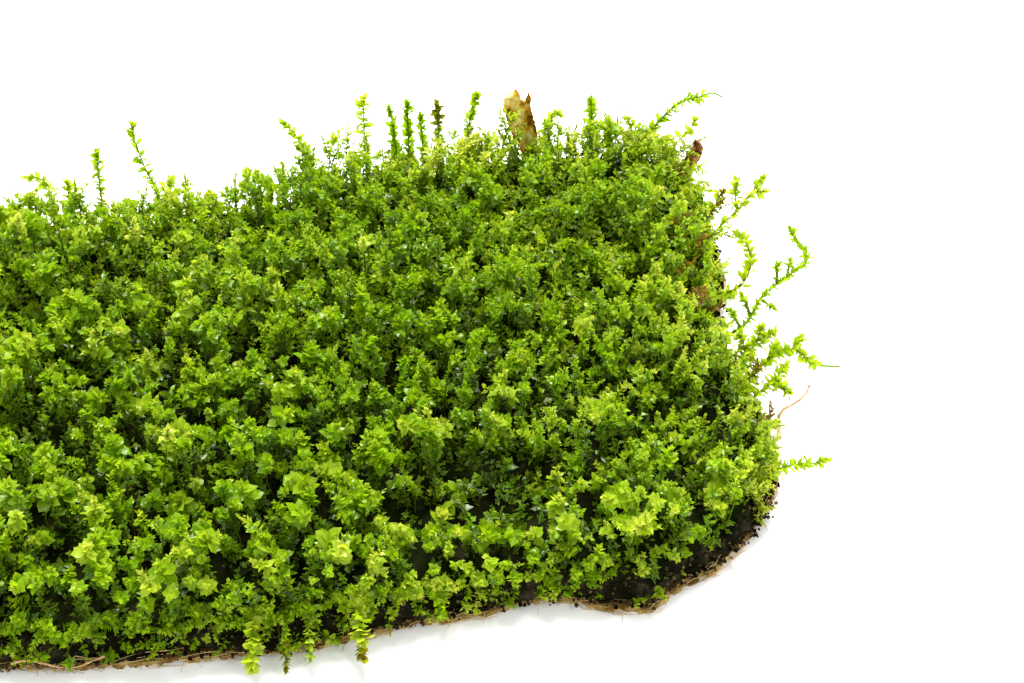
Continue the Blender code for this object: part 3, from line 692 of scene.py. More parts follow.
class Shoot:
    """One plant: a stem with its leaves."""

    turn_scatter = 0.5
    lean_scatter = 15.0
    way_scatter = 0.17
    face_scatter = 0.4
    tint_scatter = 0.06
    age_scatter = 0.03
    length_span = (0.7, 1.15)       # of a leaf, of the wanted length
    width_span = (0.85, 1.2)
    bend_span = (-0.7, 2.8)         # of a leaf's curl: a few bend up
    crown_part = 0.8                # of the stem, that a crown covers at most
    fine_part = 0.5                 # share of a crown past which its leaves are small and simple
    crown_pale = 0.3                # how much paler a crown's innermost leaves are than its outermost
    crown_even = 0.3                # share of a crown at which it has the shoot's own tint
    stem_dim = 0.12                 # how much darker than the crown the stem's leaves are
    foot_dim = 0.5                  # how much darker they grow down to the foot
    full_part = 0.3                 # of the stem, from its tip, that has fully formed leaves
    foot_age = (0.3, 0.45)          # how much older the leaves grow, and from which share down
    foot_small = 0.25               # how much smaller they are at the foot
    twig_chance = 0.6
    twig_places = (0.5, 1.4)        # of the crown's depth, from the tip
    twig_reach = (2.4, 4.0)

    def __init__(self, course: np.ndarray, rng: np.random.Generator) -> None:
        """Take the stem.

        Args:
            course: Points along it.
            rng: Source of chance.
        """
        self.course = course
        self.rng = rng
        self.along = distances(course)
        self.ways = directions(course)

    @property
    def length(self) -> float:
        """Length of the stem."""
        return float(self.along[-1])

    def _at(self, distance: np.ndarray) -> tuple:
        """Place and directions on the stem.

        Args:
            distance: Distances along it.

        Returns:
            Places, the ways along, and two ways across.
        """
        found = [np.stack([np.interp(distance, self.along, rows[:, axis]) for axis in range(3)], axis=1)
                 for rows in (self.course, *self.ways)]
        return found[0], unit(found[1]), unit(found[2]), unit(found[3])

    def set_leaves(self, foliage: Foliage, form: LeafForm, distance: np.ndarray, spread: np.ndarray,
                   length: np.ndarray, width: float, swatch: np.ndarray) -> None:
        """Set leaves round the stem, each turned on from the last by the golden angle.

        Args:
            foliage: Where the leaves go.
            form: Which leaf.
            distance: How far along the stem each leaf sits.
            spread: Angle of each leaf from the stem, in degrees.
            length: Each leaf's length.
            width: Width factor.
            swatch: Tint and age of each leaf.
        """
        count = len(distance)
        if not count:
            return
        place, along, across, other = self._at(distance)
        turn = GOLDEN_ANGLE * np.arange(count) + self.rng.uniform(0.0, 2.0 * math.pi)
        turn = (turn + self.rng.normal(0.0, self.turn_scatter, count))[:, None]
        out = np.cos(turn) * across + np.sin(turn) * other
        lean = np.radians(spread + self.rng.normal(0.0, self.lean_scatter, count))[:, None]
        stray = self.rng.normal(0.0, self.way_scatter, (count, 3))
        way = unit(np.cos(lean) * along + np.sin(lean) * out + stray)
        tilt = self.rng.normal(0.0, self.face_scatter, (count, 3))
        face = np.sin(lean) * along - np.cos(lean) * out + tilt
        size = np.stack([length * self.rng.uniform(*self.length_span, count),
                         width * self.rng.uniform(*self.width_span, count),
                         self.rng.uniform(*self.bend_span, count)], axis=1)
        foliage.add_leaves(form, place, way, face, size, swatch)

    def clothe(self, foliage: Foliage, growth: Growth, vigour: float, tint: float, age: float,
               bare_foot: float) -> None:
        """Give the shoot its crown and its stem leaves.

        Args:
            foliage: Where the leaves go.
            growth: How the leaves are set.
            vigour: Size of the leaves against the usual.
            tint: Tint of the crown.
            age: Age of the crown.
            bare_foot: Length of stem without leaves.
        """
        depth = min(growth.crown_depth * vigour, self.crown_part * self.length)
        count = growth.crown_leaves
        inner = (np.arange(count) + 0.5) / count
        distance = self.length - depth * (1.0 - inner)
        spread = np.interp(inner ** 1.2, (0.0, 1.0), growth.crown_spread)
        length = vigour * np.interp(inner ** 1.4, (0.0, 1.0), growth.crown_length)
        shade = self._swatches(tint + self.crown_pale * (inner - self.crown_even), np.full(count, age))
        outer = inner < self.fine_part
        for chosen, form in ((outer, growth.form), (~outer, LeafForm.SIMPLE)):
            self.set_leaves(foliage, form, distance[chosen], spread[chosen], length[chosen], growth.width,
                            shade[chosen])
        distance = np.arange(self.length - depth, bare_foot, -growth.stem_gap)
        deep = 1.0 - distance / self.length
        older, old_from = self.foot_age
        shade = self._swatches(tint - self.stem_dim - self.foot_dim * deep,
                               age + older * np.clip(deep - old_from, 0.0, 1.0))
        length = vigour * growth.stem_length * (1.0 - self.foot_small * deep)
        spread = np.full(len(distance), growth.stem_spread)
        upper = deep < self.full_part
        for chosen, form in ((upper, growth.form), (~upper, LeafForm.SIMPLE)):
            self.set_leaves(foliage, form, distance[chosen], spread[chosen], length[chosen], growth.width,
                            shade[chosen])
        for _ in range(growth.twigs):
            if self.rng.random() < self.twig_chance:
                place = self.length - depth * self.rng.uniform(*self.twig_places)
                self._twig(place, vigour * self.rng.uniform(*self.twig_reach)).clothe(
                    foliage, GROWTHS[Habit.TWIG], vigour, tint - 0.04, age, 0.5)

    def _twig(self, distance: float, reach: float) -> "Shoot":
        """A side twig that leaves the stem and turns up towards its tip.

        Args:
            distance: How far along the stem it leaves.
            reach: Its length.

        Returns:
            The twig, still bare.
        """
        place, along, across, other = (rows[0] for rows in self._at(np.array([distance])))
        turn = self.rng.uniform(0.0, 2.0 * math.pi)
        way = 0.7 * along + 0.7 * (math.cos(turn) * across + math.sin(turn) * other)
        knots = np.array([place, place + 0.5 * reach * way, place + reach * (way + 0.2 * along)])
        return Shoot(smooth_course(knots, 4), self.rng)

    def _swatches(self, tint: np.ndarray, age: np.ndarray) -> np.ndarray:
        """Scatter tints and ages a little.

        Args:
            tint: The wanted tints.
            age: The wanted ages.

        Returns:
            Tint and age of each leaf.
        """
        count = len(tint)
        tints = tint + self.rng.normal(0.0, self.tint_scatter, count)
        return np.stack([tints, age + np.abs(self.rng.normal(0.0, self.age_scatter, count))], axis=1)


class TuftSurface:
    """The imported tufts, for setting the shoots' heights and finding whose they are."""

    above = 60.0                    # a height over all of them

    def __init__(self) -> None:
        """Gather the tufts' triangles."""
        self.names = sorted(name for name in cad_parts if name.startswith("moss_tuft_"))
        points, faces, self.owner = [], [], []
        for name in self.names:
            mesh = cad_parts[name].data
            start = len(points)
            points += [vert.co / MM for vert in mesh.vertices]
            for face in mesh.polygons:
                faces.append([start + corner for corner in face.vertices])
                self.owner.append(name)
        self.tree = BVHTree.FromPolygons(points, faces)
        self.low, self.high = np.min(points, axis=0), np.max(points, axis=0)

    def top(self, x: float, y: float) -> tuple[str, float] | None:
        """Find the tuft under a place.

        Args:
            x: Place along X.
            y: Place along Y.

        Returns:
            The tuft's name and its height there, or None beside the tufts.
        """
        spot, _, index, _ = self.tree.ray_cast(Vector((x, y, self.above)), Vector((0.0, 0.0, -1.0)))
        return (self.owner[index], spot.z) if spot else None

    def nearest(self, place: np.ndarray) -> str:
        """Name of the tuft nearest to a place."""
        return self.owner[self.tree.find_nearest(Vector(place))[2]]


class RimLine:
    """Outline of a flat-lying solid at one height, with the ways out of it."""

    points_around = 720
    slack = 0.55                    # how far a corner's height may be from the wanted one
    neighbour = 3                   # points on either side that give the rim's direction

    def __init__(self, node: str, height: float) -> None:
        """Find the outline.

        Args:
            node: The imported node.
            height: Height of the corners that the outline goes through.
        """
        corners = {(round(vert.co.x / MM, 2), round(vert.co.y / MM, 2))
                   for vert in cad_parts[node].data.vertices
                   if abs(vert.co.z / MM - height) < self.slack}
        ring = np.array(sorted(corners, key=lambda place: math.atan2(place[1], place[0])))
        closed = np.vstack([ring, ring[:1]])
        along = distances(closed)
        self.length = float(along[-1])
        wanted = np.linspace(0.0, self.length, self.points_around, endpoint=False)
        self.points = np.stack([np.interp(wanted, along, closed[:, axis]) for axis in range(2)], axis=1)
        ahead = np.roll(self.points, -self.neighbour, axis=0) - np.roll(self.points, self.neighbour, axis=0)
        self.out = unit(np.stack([ahead[:, 1], -ahead[:, 0]], axis=1))

    def at(self, along: np.ndarray, out: np.ndarray) -> tuple[np.ndarray, np.ndarray]:
        """Places beside the rim.

        Args:
            along: Distances along the rim.
            out: Distances out of it.

        Returns:
            The places, and the way out at each.
        """
        share = np.asarray(along) / self.length
        index = np.round(share * self.points_around).astype(int) % self.points_around
        return self.points[index] + self.out[index] * np.asarray(out)[..., None], self.out[index]


@dataclass
class MossCover:
    """The leafy tufts."""

    blades: dict
    pitch: float = 3.4              # from one shoot of the cover to the next
    jitter: float = 1.3
    rim_gap: float = 2.3            # between the shoots of the fringe
    crest_gap: float = 1.6          # between the shoots of the back rim
    head_reach: float = 2.6         # how far round its place a shoot looks for its height
    head_rise: float = 0.6          # how far it rises to the highest place found there
    hollow_reach: float = 1.2       # how wide a hollow is cleared, of its listed half width
    hollow_shoots: float = 0.4      # chance of a short shoot at a place in a hollow
    front_line: float = 5.0         # in front of it there are fewer short shoots
    strong_share: float = 0.24      # of the shoots, that are larger, paler and higher
    strong_size: float = 0.4
    vigour_span: tuple[float, float] = (0.62, 1.05)
    rim_vigour: tuple[float, float] = (0.65, 0.95)
    crest_vigour: tuple[float, float] = (0.75, 1.15)
    crest_insets: tuple[float, float] = (1.0, 3.6)
    fringe_gaps: float = 0.4        # share of the low places at the front left bare
    low_gaps: float = 0.6           # the same at the other sides
    window_gaps: float = 0.8        # the same where the soil shows
    drawn_in: float = 1.4           # how much less the fringe leans out there, and at the left
    bare_part: float = 0.38         # of a shoot's length, from its foot
    sway: float = 2.2               # how far a shoot's foot lies from under its tip
    foot_back: float = 0.8          # how far it lies behind it
    foot_inset: float = 5.0         # how much further in it lies at the rim
    nod: float = 1.1                # how far its tip turns aside
    bow: float = 0.7                # how far its middle strays
    stem_radius: float = 0.24
    stem_tint: float = 0.35
    stem_age: float = 0.3
    withered_share: float = 0.14    # of the shoots along the right side
    withered_age: float = 0.62
    worn_from: tuple[float, float] = (0.87, -25.0)  # share of the half length, and Y, where that starts
    valley: float = 18.0            # height below which shoots stand apart
    valley_gaps: float = 0.75       # share of them left out at most
    soil_window: tuple[float, float] = (52.0, 82.0)
    tint_level: float = 0.46
    tint_scatter: float = 0.09
    surface: TuftSurface = field(default_factory=TuftSurface)

    def places(self) -> list:
        """Loose rows of places over the whole strip.

        Returns:
            Pairs of X and Y.
        """
        rng = np.random.default_rng(SEED)
        low, high = self.surface.low - 1.0, self.surface.high + 1.0
        row = self.pitch * math.sqrt(3.0) / 2.0
        found = []
        for j in range(int((high[1] - low[1]) / row) + 1):
            for i in range(int((high[0] - low[0]) / self.pitch) + 1):
                shift = rng.uniform(-self.jitter, self.jitter, 2)
                x = low[0] + self.pitch * (i + 0.5 * (j % 2)) + shift[0]
                found.append((x, low[1] + row * j + shift[1]))
        return found

    def stand(self, x: float, y: float) -> tuple[str, float, float] | None:
        """Find what stands at a place.

        Args:
            x: Place along X.
            y: Place along Y.

        Returns:
            The tuft, the height of a shoot's tip and the solid's own height, or None beside the tufts.
        """
        hit = self.surface.top(x, y)
        if not hit:
            return None
        name, below = hit
        reach = self.head_reach
        sides = ((reach, 0), (-reach, 0), (0, reach), (0, -reach))
        around = [self.surface.top(x + dx, y + dy) for dx, dy in sides]
        highest = max([*(found[1] for found in around if found), below])
        return name, (1.0 - self.head_rise) * below + self.head_rise * highest, below

    def habit(self, x: float, y: float, rng: np.random.Generator) -> Habit:
        """Kind of shoot at a place: kinds keep together in patches, and feathery ones to the back right.

        Args:
            x: Place along X.
            y: Place along Y.
            rng: Source of chance.

        Returns:
            The kind.
        """
        mood = wander(x, y, 17.0, 3.0) + rng.normal(0.0, 0.3)
        feathery = (x - 10.0) / 90.0 + (y + 10.0) / 80.0
        if mood - 0.9 * feathery > 0.75:
            return Habit.BROAD_ROSETTE if rng.random() < 0.6 else Habit.ROSETTE
        if mood > 0.35:
            return Habit.PLUME
        if mood + 0.8 * feathery > -0.05:
            return Habit.FEATHER if rng.random() < 0.55 else Habit.PLUME
        return Habit.FINE if mood < -0.35 else Habit.ROSETTE

    def tint(self, x: float, y: float, rng: np.random.Generator) -> float:
        """Tint of the shoot at a place: paler in patches; paler towards the rim and at the front right and
        darker at the front left, as painted light and shade.

        Args:
            x: Place along X.
            y: Place along Y.
            rng: Source of chance.

        Returns:
            The tint, about 0 to 1.
        """
        half = self.surface.high[:2]
        rim = max(abs(x) / half[0], abs(y) / half[1])
        patches = 0.15 * wander(x, y, 26.0, 7.0) + 0.1 * wander(x, y, 8.0, 9.0)
        # Painted light and shade: the corner term tints the front right paler and the front left darker, and
        # the rim term paints a backlit glow that grows paler towards the rim.
        corner = 0.05 * np.clip(x / half[0], -1.0, 1.0) * (0.5 - y / half[1])
        return self.tint_level + corner + patches + 0.16 * rim ** 4 + rng.normal(0.0, self.tint_scatter)

    def grow(self, foliage: Foliage, tip: np.ndarray, foot: np.ndarray, habit: Habit, vigour: float,
             tint: float, bare: float, rng: np.random.Generator) -> None:
        """Grow one shoot.

        Args:
            foliage: Where it goes.
            tip: End of its stem.
            foot: Start of its stem.
            habit: How it grows.
            vigour: Size against the usual.
            tint: Tint of its crown.
            bare: Share of its stem without leaves.
            rng: Source of chance.
        """
        aside = rng.normal(0.0, self.nod, 2)
        middle = 0.5 * (foot + tip)
        middle[:2] += 0.18 * (foot - tip)[:2] + rng.normal(0.0, self.bow, 2)
        neck = foot + 0.8 * (tip - foot)
        neck[:2] -= 0.5 * aside
        end = tip + np.array([*aside, -0.25 * np.linalg.norm(aside)])
        shoot = Shoot(smooth_course(np.array([foot, middle, neck, end]), 7), rng)
        age = 0.03 + 0.12 * max(0.0, wander(tip[0], tip[1], 9.0, 21.0) - 0.55)
        worn_side = tip[0] > self.worn_from[0] * self.surface.high[0] and tip[1] > self.worn_from[1]
        age += self.withered_age if worn_side and rng.random() < self.withered_share else 0.0
        shoot.clothe(foliage, GROWTHS[habit], vigour, tint, age, bare * shoot.length)
        foliage.add_stem(shoot.course[::2], self.stem_radius, self.stem_tint, self.stem_age)

    def _foot(self, x: float, y: float, rng: np.random.Generator) -> np.ndarray:
        """Foot of a shoot: further in than its tip near the rim.

        Args:
            x: The tip's place along X.
            y: The tip's place along Y.
            rng: Source of chance.

        Returns:
            The foot's place.
        """
        half = self.surface.high[:2]
        share = np.array([x, y]) / half
        pull = self.foot_inset * np.sign(share) * np.abs(share) ** 5
        shift = rng.normal(0.0, self.sway, 2) + (0.0, self.foot_back)
        return np.array([x - pull[0] + shift[0], y - pull[1] + shift[1], SOIL_TOP])

    def _undergrowth(self, foliage: Foliage, x: float, y: float, painted_shade: float,
                     rng: np.random.Generator) -> None:
        """Grow a short shoot between the tall ones, tinted darker than them as painted shade.

        Args:
            foliage: Where it goes.
            x: Its place along X.
            y: Its place along Y.
            painted_shade: How much darker it is than the others of its kind.
            rng: Source of chance.
        """
        foot = np.array([*(np.array([x, y]) + rng.uniform(-1.9, 1.9, 2)), SOIL_TOP])
        tip = foot + np.array([*rng.normal(0.0, 1.6, 2), rng.uniform(2.5, 11.0)])
        shoot = Shoot(smooth_course(np.array([foot, tip]), 3), rng)
        # Painted shade and light: the undergrowth is tinted darker in the hollows and towards the front, and
        # paler towards the back, which the lamp lights from behind.
        light = 0.16 * y / self.surface.high[1] - painted_shade
        shoot.clothe(foliage, GROWTHS[Habit.SEEDLING], vigour=rng.uniform(1.1, 1.7),
                     tint=rng.uniform(0.05, 0.45) + light, age=rng.uniform(0.02, 0.35), bare_foot=1.0)

    def _main(self, heaps: dict) -> None:
        """Grow the landmarks, and the cover between them.

        Args:
            heaps: The foliage of each tuft by its name.
        """
        rng = np.random.default_rng(SEED + 1)
        marks = [(*shifted((mark.x, mark.y, 0.0))[:2], mark) for mark in LANDMARKS]
        hollows = [(*shifted((x, y, 0.0))[:2], width) for x, y, width in HOLLOWS]
        for x, y, mark in marks:
            name, height, _ = self.stand(x, y) or (self.surface.nearest((x, y, 15.0)), 15.0, 15.0)
            tip = np.array([x, y, mark.height or height - 0.6])
            self.grow(heaps[name], tip, self._foot(x, y, rng), mark.habit, mark.vigour, mark.tint,
                      bare=0.3, rng=rng)
        for x, y in self.places():
            found = self.stand(x, y)
            if not found:
                continue
            name, height, below = found
            hollow = any(math.hypot(x - a, y - b) < self.hollow_reach * width for a, b, width in hollows)
            front = y < self.front_line
            if hollow:
                low_shoots = int(rng.random() < self.hollow_shoots)
            else:
                low_shoots = 1 if front else 2
            # painted shade: the short shoots in hollows and at the front are tinted darker
            for _ in range(low_shoots):
                self._undergrowth(heaps[name], x, y, 0.3 * hollow + 0.08 * front, rng)
            crowded = any(math.hypot(x - a, y - b) < LANDMARK_ROOM * mark.vigour for a, b, mark in marks)
            if crowded or hollow or rng.random() < min(self.valley_gaps, (self.valley - below) / 8.0):
                continue
            strong = self.strong_size * (rng.random() < self.strong_share)
            vigour = rng.uniform(*self.vigour_span) + strong + 0.2 * wander(x, y, 11.0, 31.0)
            sunk = (0.3 if strong else 1.0) * abs(rng.normal(0.0, 2.6))
            tip = np.array([x, y, height - 1.2 * vigour - sunk])
            self.grow(heaps[name], tip, self._foot(x, y, rng), self.habit(x, y, rng), vigour,
                      self.tint(x, y, rng) + 0.25 * strong, self.bare_part, rng)

    def _gap_chance(self, high: float, front: bool, window: bool) -> float:
        """Chance that a place of the fringe stays bare.

        Args:
            high: Top of the row that it is in.
            front: Whether it is at the front.
            window: Whether it is where the soil shows.

        Returns:
            The chance, from 0 to 1.
        """
        if window:
            return self.window_gaps
        if high > FRINGE_LOW:
            return 0.0
        return self.fringe_gaps if front else self.low_gaps

    def _fringe(self, heaps: dict) -> None:
        """Clothe the rim with shoots that lean out over the soil's edge.

        Args:
            heaps: The foliage of each tuft by its name.
        """
        rng = np.random.default_rng(SEED + 2)
        rim = RimLine("soil_mat", SOIL_RIM)
        window = tuple(edge + ORIGIN_SHIFT[0] for edge in self.soil_window)
        for along in np.arange(0.0, rim.length, self.rim_gap):
            for low, high, reach in FRINGE_ROWS:
                spot, out = rim.at(along + rng.uniform(-1.2, 1.2), 0.0)
                front, left, right = out[1] < -FACING, out[0] < -FACING, out[0] > FACING
                bare = front and window[0] < spot[0] < window[1]
                if rng.random() < self._gap_chance(high, front, bare):
                    continue
                height = rng.uniform(low, high)
                away = reach + rng.uniform(-1.2, 1.0) - (self.drawn_in if left else 0.0)
                if bare:
                    away -= self.drawn_in
                if right and spot[1] > -20.0:
                    away += rng.choice((-2.4, 1.6), p=(0.75, 0.25))
                foot = np.array([*(spot - out * rng.uniform(3.0, 5.2)), SOIL_TOP])
                tip = np.array([*(spot + out * away), height - (1.0 if front else 0.0)])
                # painted light: the shoots on the right side are tinted paler, as a backlit glow
                tint = self.tint(*spot, rng) + (0.1 if right else 0.0)
                if right:
                    habit = Habit.FEATHER
                else:
                    habit = Habit.ROSETTE if rng.random() < 0.6 else Habit.FINE
                name = self.surface.nearest((*foot[:2], height))
                self.grow(heaps[name], tip, foot, habit, rng.uniform(*self.rim_vigour), tint,
                          bare=0.1, rng=rng)

    def _crest(self, heaps: dict) -> None:
        """Line the back rim with fine shoots that reach the full height.

        Args:
            heaps: The foliage of each tuft by its name.
        """
        rng = np.random.default_rng(SEED + 3)
        rim = RimLine("soil_mat", SOIL_RIM)
        for along in np.arange(0.0, rim.length, self.crest_gap):
            for inset in self.crest_insets:
                spot, out = rim.at(along + rng.uniform(-0.8, 0.8), -inset + rng.uniform(-1.0, 1.0))
                found = self.stand(*spot) if out[1] > 0.5 else None
                if not found:
                    continue
                name, height, _ = found
                tip = np.array([*spot, height + 0.8 - abs(rng.normal(0.0, 1.4))])
                foot = np.array([*(spot - out * rng.uniform(0.0, 2.0)), SOIL_TOP])
                habit = Habit.FINE if rng.random() < 0.6 else Habit.FEATHER
                # painted light: the back rim's shoots are tinted paler, as a backlit glow
                self.grow(heaps[name], tip, foot, habit, rng.uniform(*self.crest_vigour),
                          self.tint(*spot, rng) + 0.1, bare=0.4, rng=rng)

    def build(self, material: bpy.types.Material) -> None:
        """Make one leafy piece for each packed tuft.

        Args:
            material: What they are dressed in.
        """
        heaps = {name: Foliage(self.blades, np.random.default_rng([SEED, number]))
                 for number, name in enumerate(self.surface.names)}
        self._main(heaps)
        self._fringe(heaps)
        self._crest(heaps)
        for name, foliage in heaps.items():
            piece = foliage.make(name.replace("moss_tuft", "leafy_tuft"), material)
            hand_over(piece, name)


@dataclass
class StrayShoots:
    """The single shoots at the rim."""

    blades: dict
    course_points: int = 28
    twig_points: int = 6
    first_leaf: float = 0.6         # how far up the stem the first leaf sits
    tint_scatter: float = 0.07
    age_scatter: float = 0.05
    brown_age: float = 0.5
    head_leaves: int = 13           # of the bud at the tip
    head_depth: float = 1.7
    head_spread: tuple[float, float] = (72.0, 58.0)     # its outermost angle, and how far that closes
    head_pale: float = 0.12
    head_width: float = 1.3
    stem_tint: float = 0.5
    tip_leaf: float = 0.55          # how far the last leaf reaches past the stem, of its length

    def _clothe(self, foliage: Foliage, stray: Stray, course: np.ndarray, bare_tip: float,
                rng: np.random.Generator) -> None:
        """Clothe one stem of a stray shoot.

        Args:
            foliage: Where the leaves go.
            stray: How it is clothed.
            course: Points along the stem.
            bare_tip: Length of bare stem at its end.
            rng: Source of chance.
        """
        shoot = Shoot(course, rng)
        distance = np.arange(self.first_leaf, shoot.length - bare_tip, stray.gap)
        share = distance / shoot.length
        spread = np.interp(share, (0.0, 0.8, 1.0), (stray.spread + 12.0, stray.spread, 0.4 * stray.spread))
        length = stray.leaf * np.interp(share, (0.0, 0.3, 0.85, 1.0), stray.profile)
        tint = stray.tint + rng.normal(0.0, self.tint_scatter, len(distance))
        age = np.abs(rng.normal(0.0, self.age_scatter, len(distance)))
        age = age + self.brown_age * (share > 1.0 - stray.brown) * rng.uniform(0.5, 1.2, len(distance))
        shade = np.stack([tint, age], axis=1)
        shoot.set_leaves(foliage, stray.form, distance, spread, length, stray.width, shade)
        if not bare_tip:
            inner = np.linspace(0.0, 1.0, self.head_leaves)
            brown = self.brown_age * np.full_like(inner, stray.brown > 0.0)
            shade = np.stack([stray.tint + self.head_pale * inner, brown], axis=1)
            widest, closing = self.head_spread
            shoot.set_leaves(
                foliage, LeafForm.NARROW, shoot.length - self.head_depth * (1.0 - inner),
                widest - closing * inner, stray.leaf * stray.profile[-1] * (1.2 - 0.45 * inner),
                self.head_width, shade)
        foliage.add_stem(course, stray.stem, self.stem_tint, stray.stem_age)

    def build(self, material: bpy.types.Material) -> None:
        """Make one leafy piece for each packed stray shoot.

        Args:
            material: What they are dressed in.
        """
        for number, stray in enumerate(STRAYS):
            rng = np.random.default_rng([SEED, 100, number])
            foliage = Foliage(self.blades, rng)
            course = smooth_course(shifted(stray.course), self.course_points)
            if not stray.bare_tip:
                along = distances(course)
                course = course[along < along[-1] - self.tip_leaf * stray.leaf]
            self._clothe(foliage, stray, course, stray.bare_tip, rng)
            for twig in stray.twigs:
                self._clothe(foliage, stray, smooth_course(shifted(twig), self.twig_points), 0.0, rng)
            hand_over(foliage.make(f"leafy_{stray.node}", material), stray.node)


class NodeBench:
    """Short ways to add and feed shader nodes in one tree."""

    def __init__(self, tree: bpy.types.NodeTree) -> None:
        """Work in the given tree."""
        self.tree = tree

    def add(self, kind: str, **values: object) -> bpy.types.Node:
        """Add a node.

        Args:
            kind: Its type.
            **values: Its own settings.

        Returns:
            The node.
        """
        node = self.tree.nodes.new(kind)
        for key, value in values.items():
            setattr(node, key, value)
        return node

    def feed(self, socket: bpy.types.NodeSocket, value: object) -> None:
        """Link a socket, or set it.

        Args:
            socket: The input.
            value: An output to link, or a number or colour to set.
        """
        if isinstance(value, bpy.types.NodeSocket):
            self.tree.links.new(value, socket)
        elif isinstance(value, tuple) and socket.type == "RGBA":
            socket.default_value = (*value, 1.0)
        else:
            socket.default_value = value

    def math(self, operation: str, first: object, second: object = 0.0,
             third: object = 0.0) -> bpy.types.NodeSocket:
        """Add a math node.

        Args:
            operation: What it does.
            first: Its first value.
            second: Its second value.
            third: Its third value.

        Returns:
            Its output.
        """
        node = self.add("ShaderNodeMath", operation=operation)
        for socket, value in zip(node.inputs, (first, second, third)):
            self.feed(socket, value)
        return node.outputs[0]

    def mix(self, blend: str, factor: object, first: object, second: object) -> bpy.types.NodeSocket:
        """Add a colour mix.

        Args:
            blend: How the colours are blended.
            factor: How much of the second one comes in.
            first: The first colour.
            second: The second colour.

        Returns:
            Its output.
        """
        node = self.add("ShaderNodeMix", data_type="RGBA", blend_type=blend)
        self.feed(node.inputs["Factor"], factor)
        colours = [socket for socket in node.inputs if socket.type == "RGBA"]
        self.feed(colours[0], first)
        self.feed(colours[1], second)
        return next(socket for socket in node.outputs if socket.type == "RGBA")

    def span(self, value: object, low: float, high: float) -> bpy.types.NodeSocket:
        """Add a map range from low and high to 0 and 1, held between them.

        Args:
            value: What is mapped.
            low: Value that becomes 0.
            high: Value that becomes 1.

        Returns:
            Its output.
        """
        node = self.add("ShaderNodeMapRange")
        self.feed(node.inputs["Value"], value)
        self.feed(node.inputs["From Min"], low)
        self.feed(node.inputs["From Max"], high)
        return node.outputs[0]

    def ramp(self, value: object, stops: tuple) -> bpy.types.NodeSocket:
        """Add a colour ramp.

        Args:
            value: Place on the ramp.
            stops: Place and colour of each stop.

        Returns:
            Its output.
        """
        node = self.add("ShaderNodeValToRGB")
        elements = node.color_ramp.elements
        elements.remove(elements[-1])
        elements[0].position = stops[0][0]
        elements[0].color = (*stops[0][1], 1.0)
        for place, colour in stops[1:]:
            elements.new(place).color = (*colour, 1.0)
        self.feed(node.inputs[0], value)
        return node.outputs["Color"]


def shader_group(name: str, inputs: tuple,
                 outputs: tuple) -> tuple[bpy.types.ShaderNodeTree, NodeBench, dict, dict]:
    """Start a shader node group.

    Args:
        name: The group's name.
        inputs: Names and kinds of its inputs.
        outputs: Names and kinds of its outputs.

    Returns:
        The group, its bench, the sockets to read and the sockets to feed.
    """
    group = bpy.data.node_groups.new(name, "ShaderNodeTree")
    for side, sockets in (("INPUT", inputs), ("OUTPUT", outputs)):
        for label, kind in sockets:
            group.interface.new_socket(label, in_out=side, socket_type=f"NodeSocket{kind}")
    bench = NodeBench(group)
    given = bench.add("NodeGroupInput").outputs
    wanted = bench.add("NodeGroupOutput").inputs
    return group, bench, given, wanted


@dataclass(frozen=True)
class LeafFinish:
    """Thin moist leaf that glows against the light, coloured by its place on the colour chart."""

    name: str
    glow: float = 0.5               # share of the light that goes through
    relief: float = 0.0002
    bump: float = 0.3
    gloss: float = 0.1
    water_roughness: float = 0.2

    def material(self) -> bpy.types.Material:
        """Build the material.

        Returns:
            The material.
        """
        material = bpy.data.materials.new(self.name)
        material.use_nodes = True
        bench = NodeBench(material.node_tree)
        shader = material.node_tree.nodes["Principled BSDF"]
        group = bench.add("ShaderNodeGroup", node_tree=leaf_chart_group())
        bench.feed(group.inputs["Chart"], bench.add("ShaderNodeUVMap", uv_map="OFBake").outputs["UV"])
        bench.feed(group.inputs["Place"], bench.add("ShaderNodeTexCoord").outputs["Object"])
        bench.feed(shader.inputs["Coat Weight"], group.outputs["Wet"])
        bench.feed(shader.inputs["Base Color"], group.outputs["Colour"])
        bench.feed(shader.inputs["Roughness"], group.outputs["Roughness"])
        bump = bench.add("ShaderNodeBump")
        bump.inputs["Strength"].default_value = self.bump
        bump.inputs["Distance"].default_value = self.relief
        bench.feed(bump.inputs["Height"], group.outputs["Relief"])
        bench.feed(shader.inputs["Normal"], bump.outputs["Normal"])
        shader.inputs["Specular IOR Level"].default_value = self.gloss
        shader.inputs["Coat Roughness"].default_value = self.water_roughness
        through = bench.add("ShaderNodeBsdfTranslucent")
        bench.feed(through.inputs["Color"], group.outputs["Glow"])
        mix = bench.add("ShaderNodeMixShader")
        mix.inputs["Fac"].default_value = self.glow
        bench.feed(mix.inputs[1], shader.outputs["BSDF"])
        bench.feed(mix.inputs[2], through.outputs["BSDF"])
        bench.feed(material.node_tree.nodes["Material Output"].inputs["Surface"], mix.outputs["Shader"])
        return material


# Stops of the colour chart: place and colour
FRESH_TINTS = ((0.0, (0.04, 0.125, 0.001)), (0.3, (0.125, 0.275, 0.0015)), (0.55, (0.235, 0.42, 0.003)),
               (0.8, (0.365, 0.5, 0.024)), (1.0, (0.5, 0.57, 0.08)))
AGEING = ((0.0, (1.0, 1.0, 1.0)), (0.35, (0.8, 0.6, 0.45)), (0.65, (0.5, 0.22, 0.2)), (1.0, (0.3, 0.12, 0.1)))
WITHERED = (0.14, 0.055, 0.014)
MIDRIB = (0.44, 0.56, 0.01)
MARGIN = (0.56, 0.7, 0.03)
# painted shade at each leaf's base, where the next leaf overlaps it
BASE_SHADE = (0.72, 0.78, 0.5)
LIGHT_THROUGH = (1.62, 1.5, 0.85)
CELLS_PER_LEAF = 14.0
WATER_SCALE = 260.0
WATER_SPAN = (0.44, 0.56)       # of the noise, from dry to wet
WATER_WEIGHT = 0.6


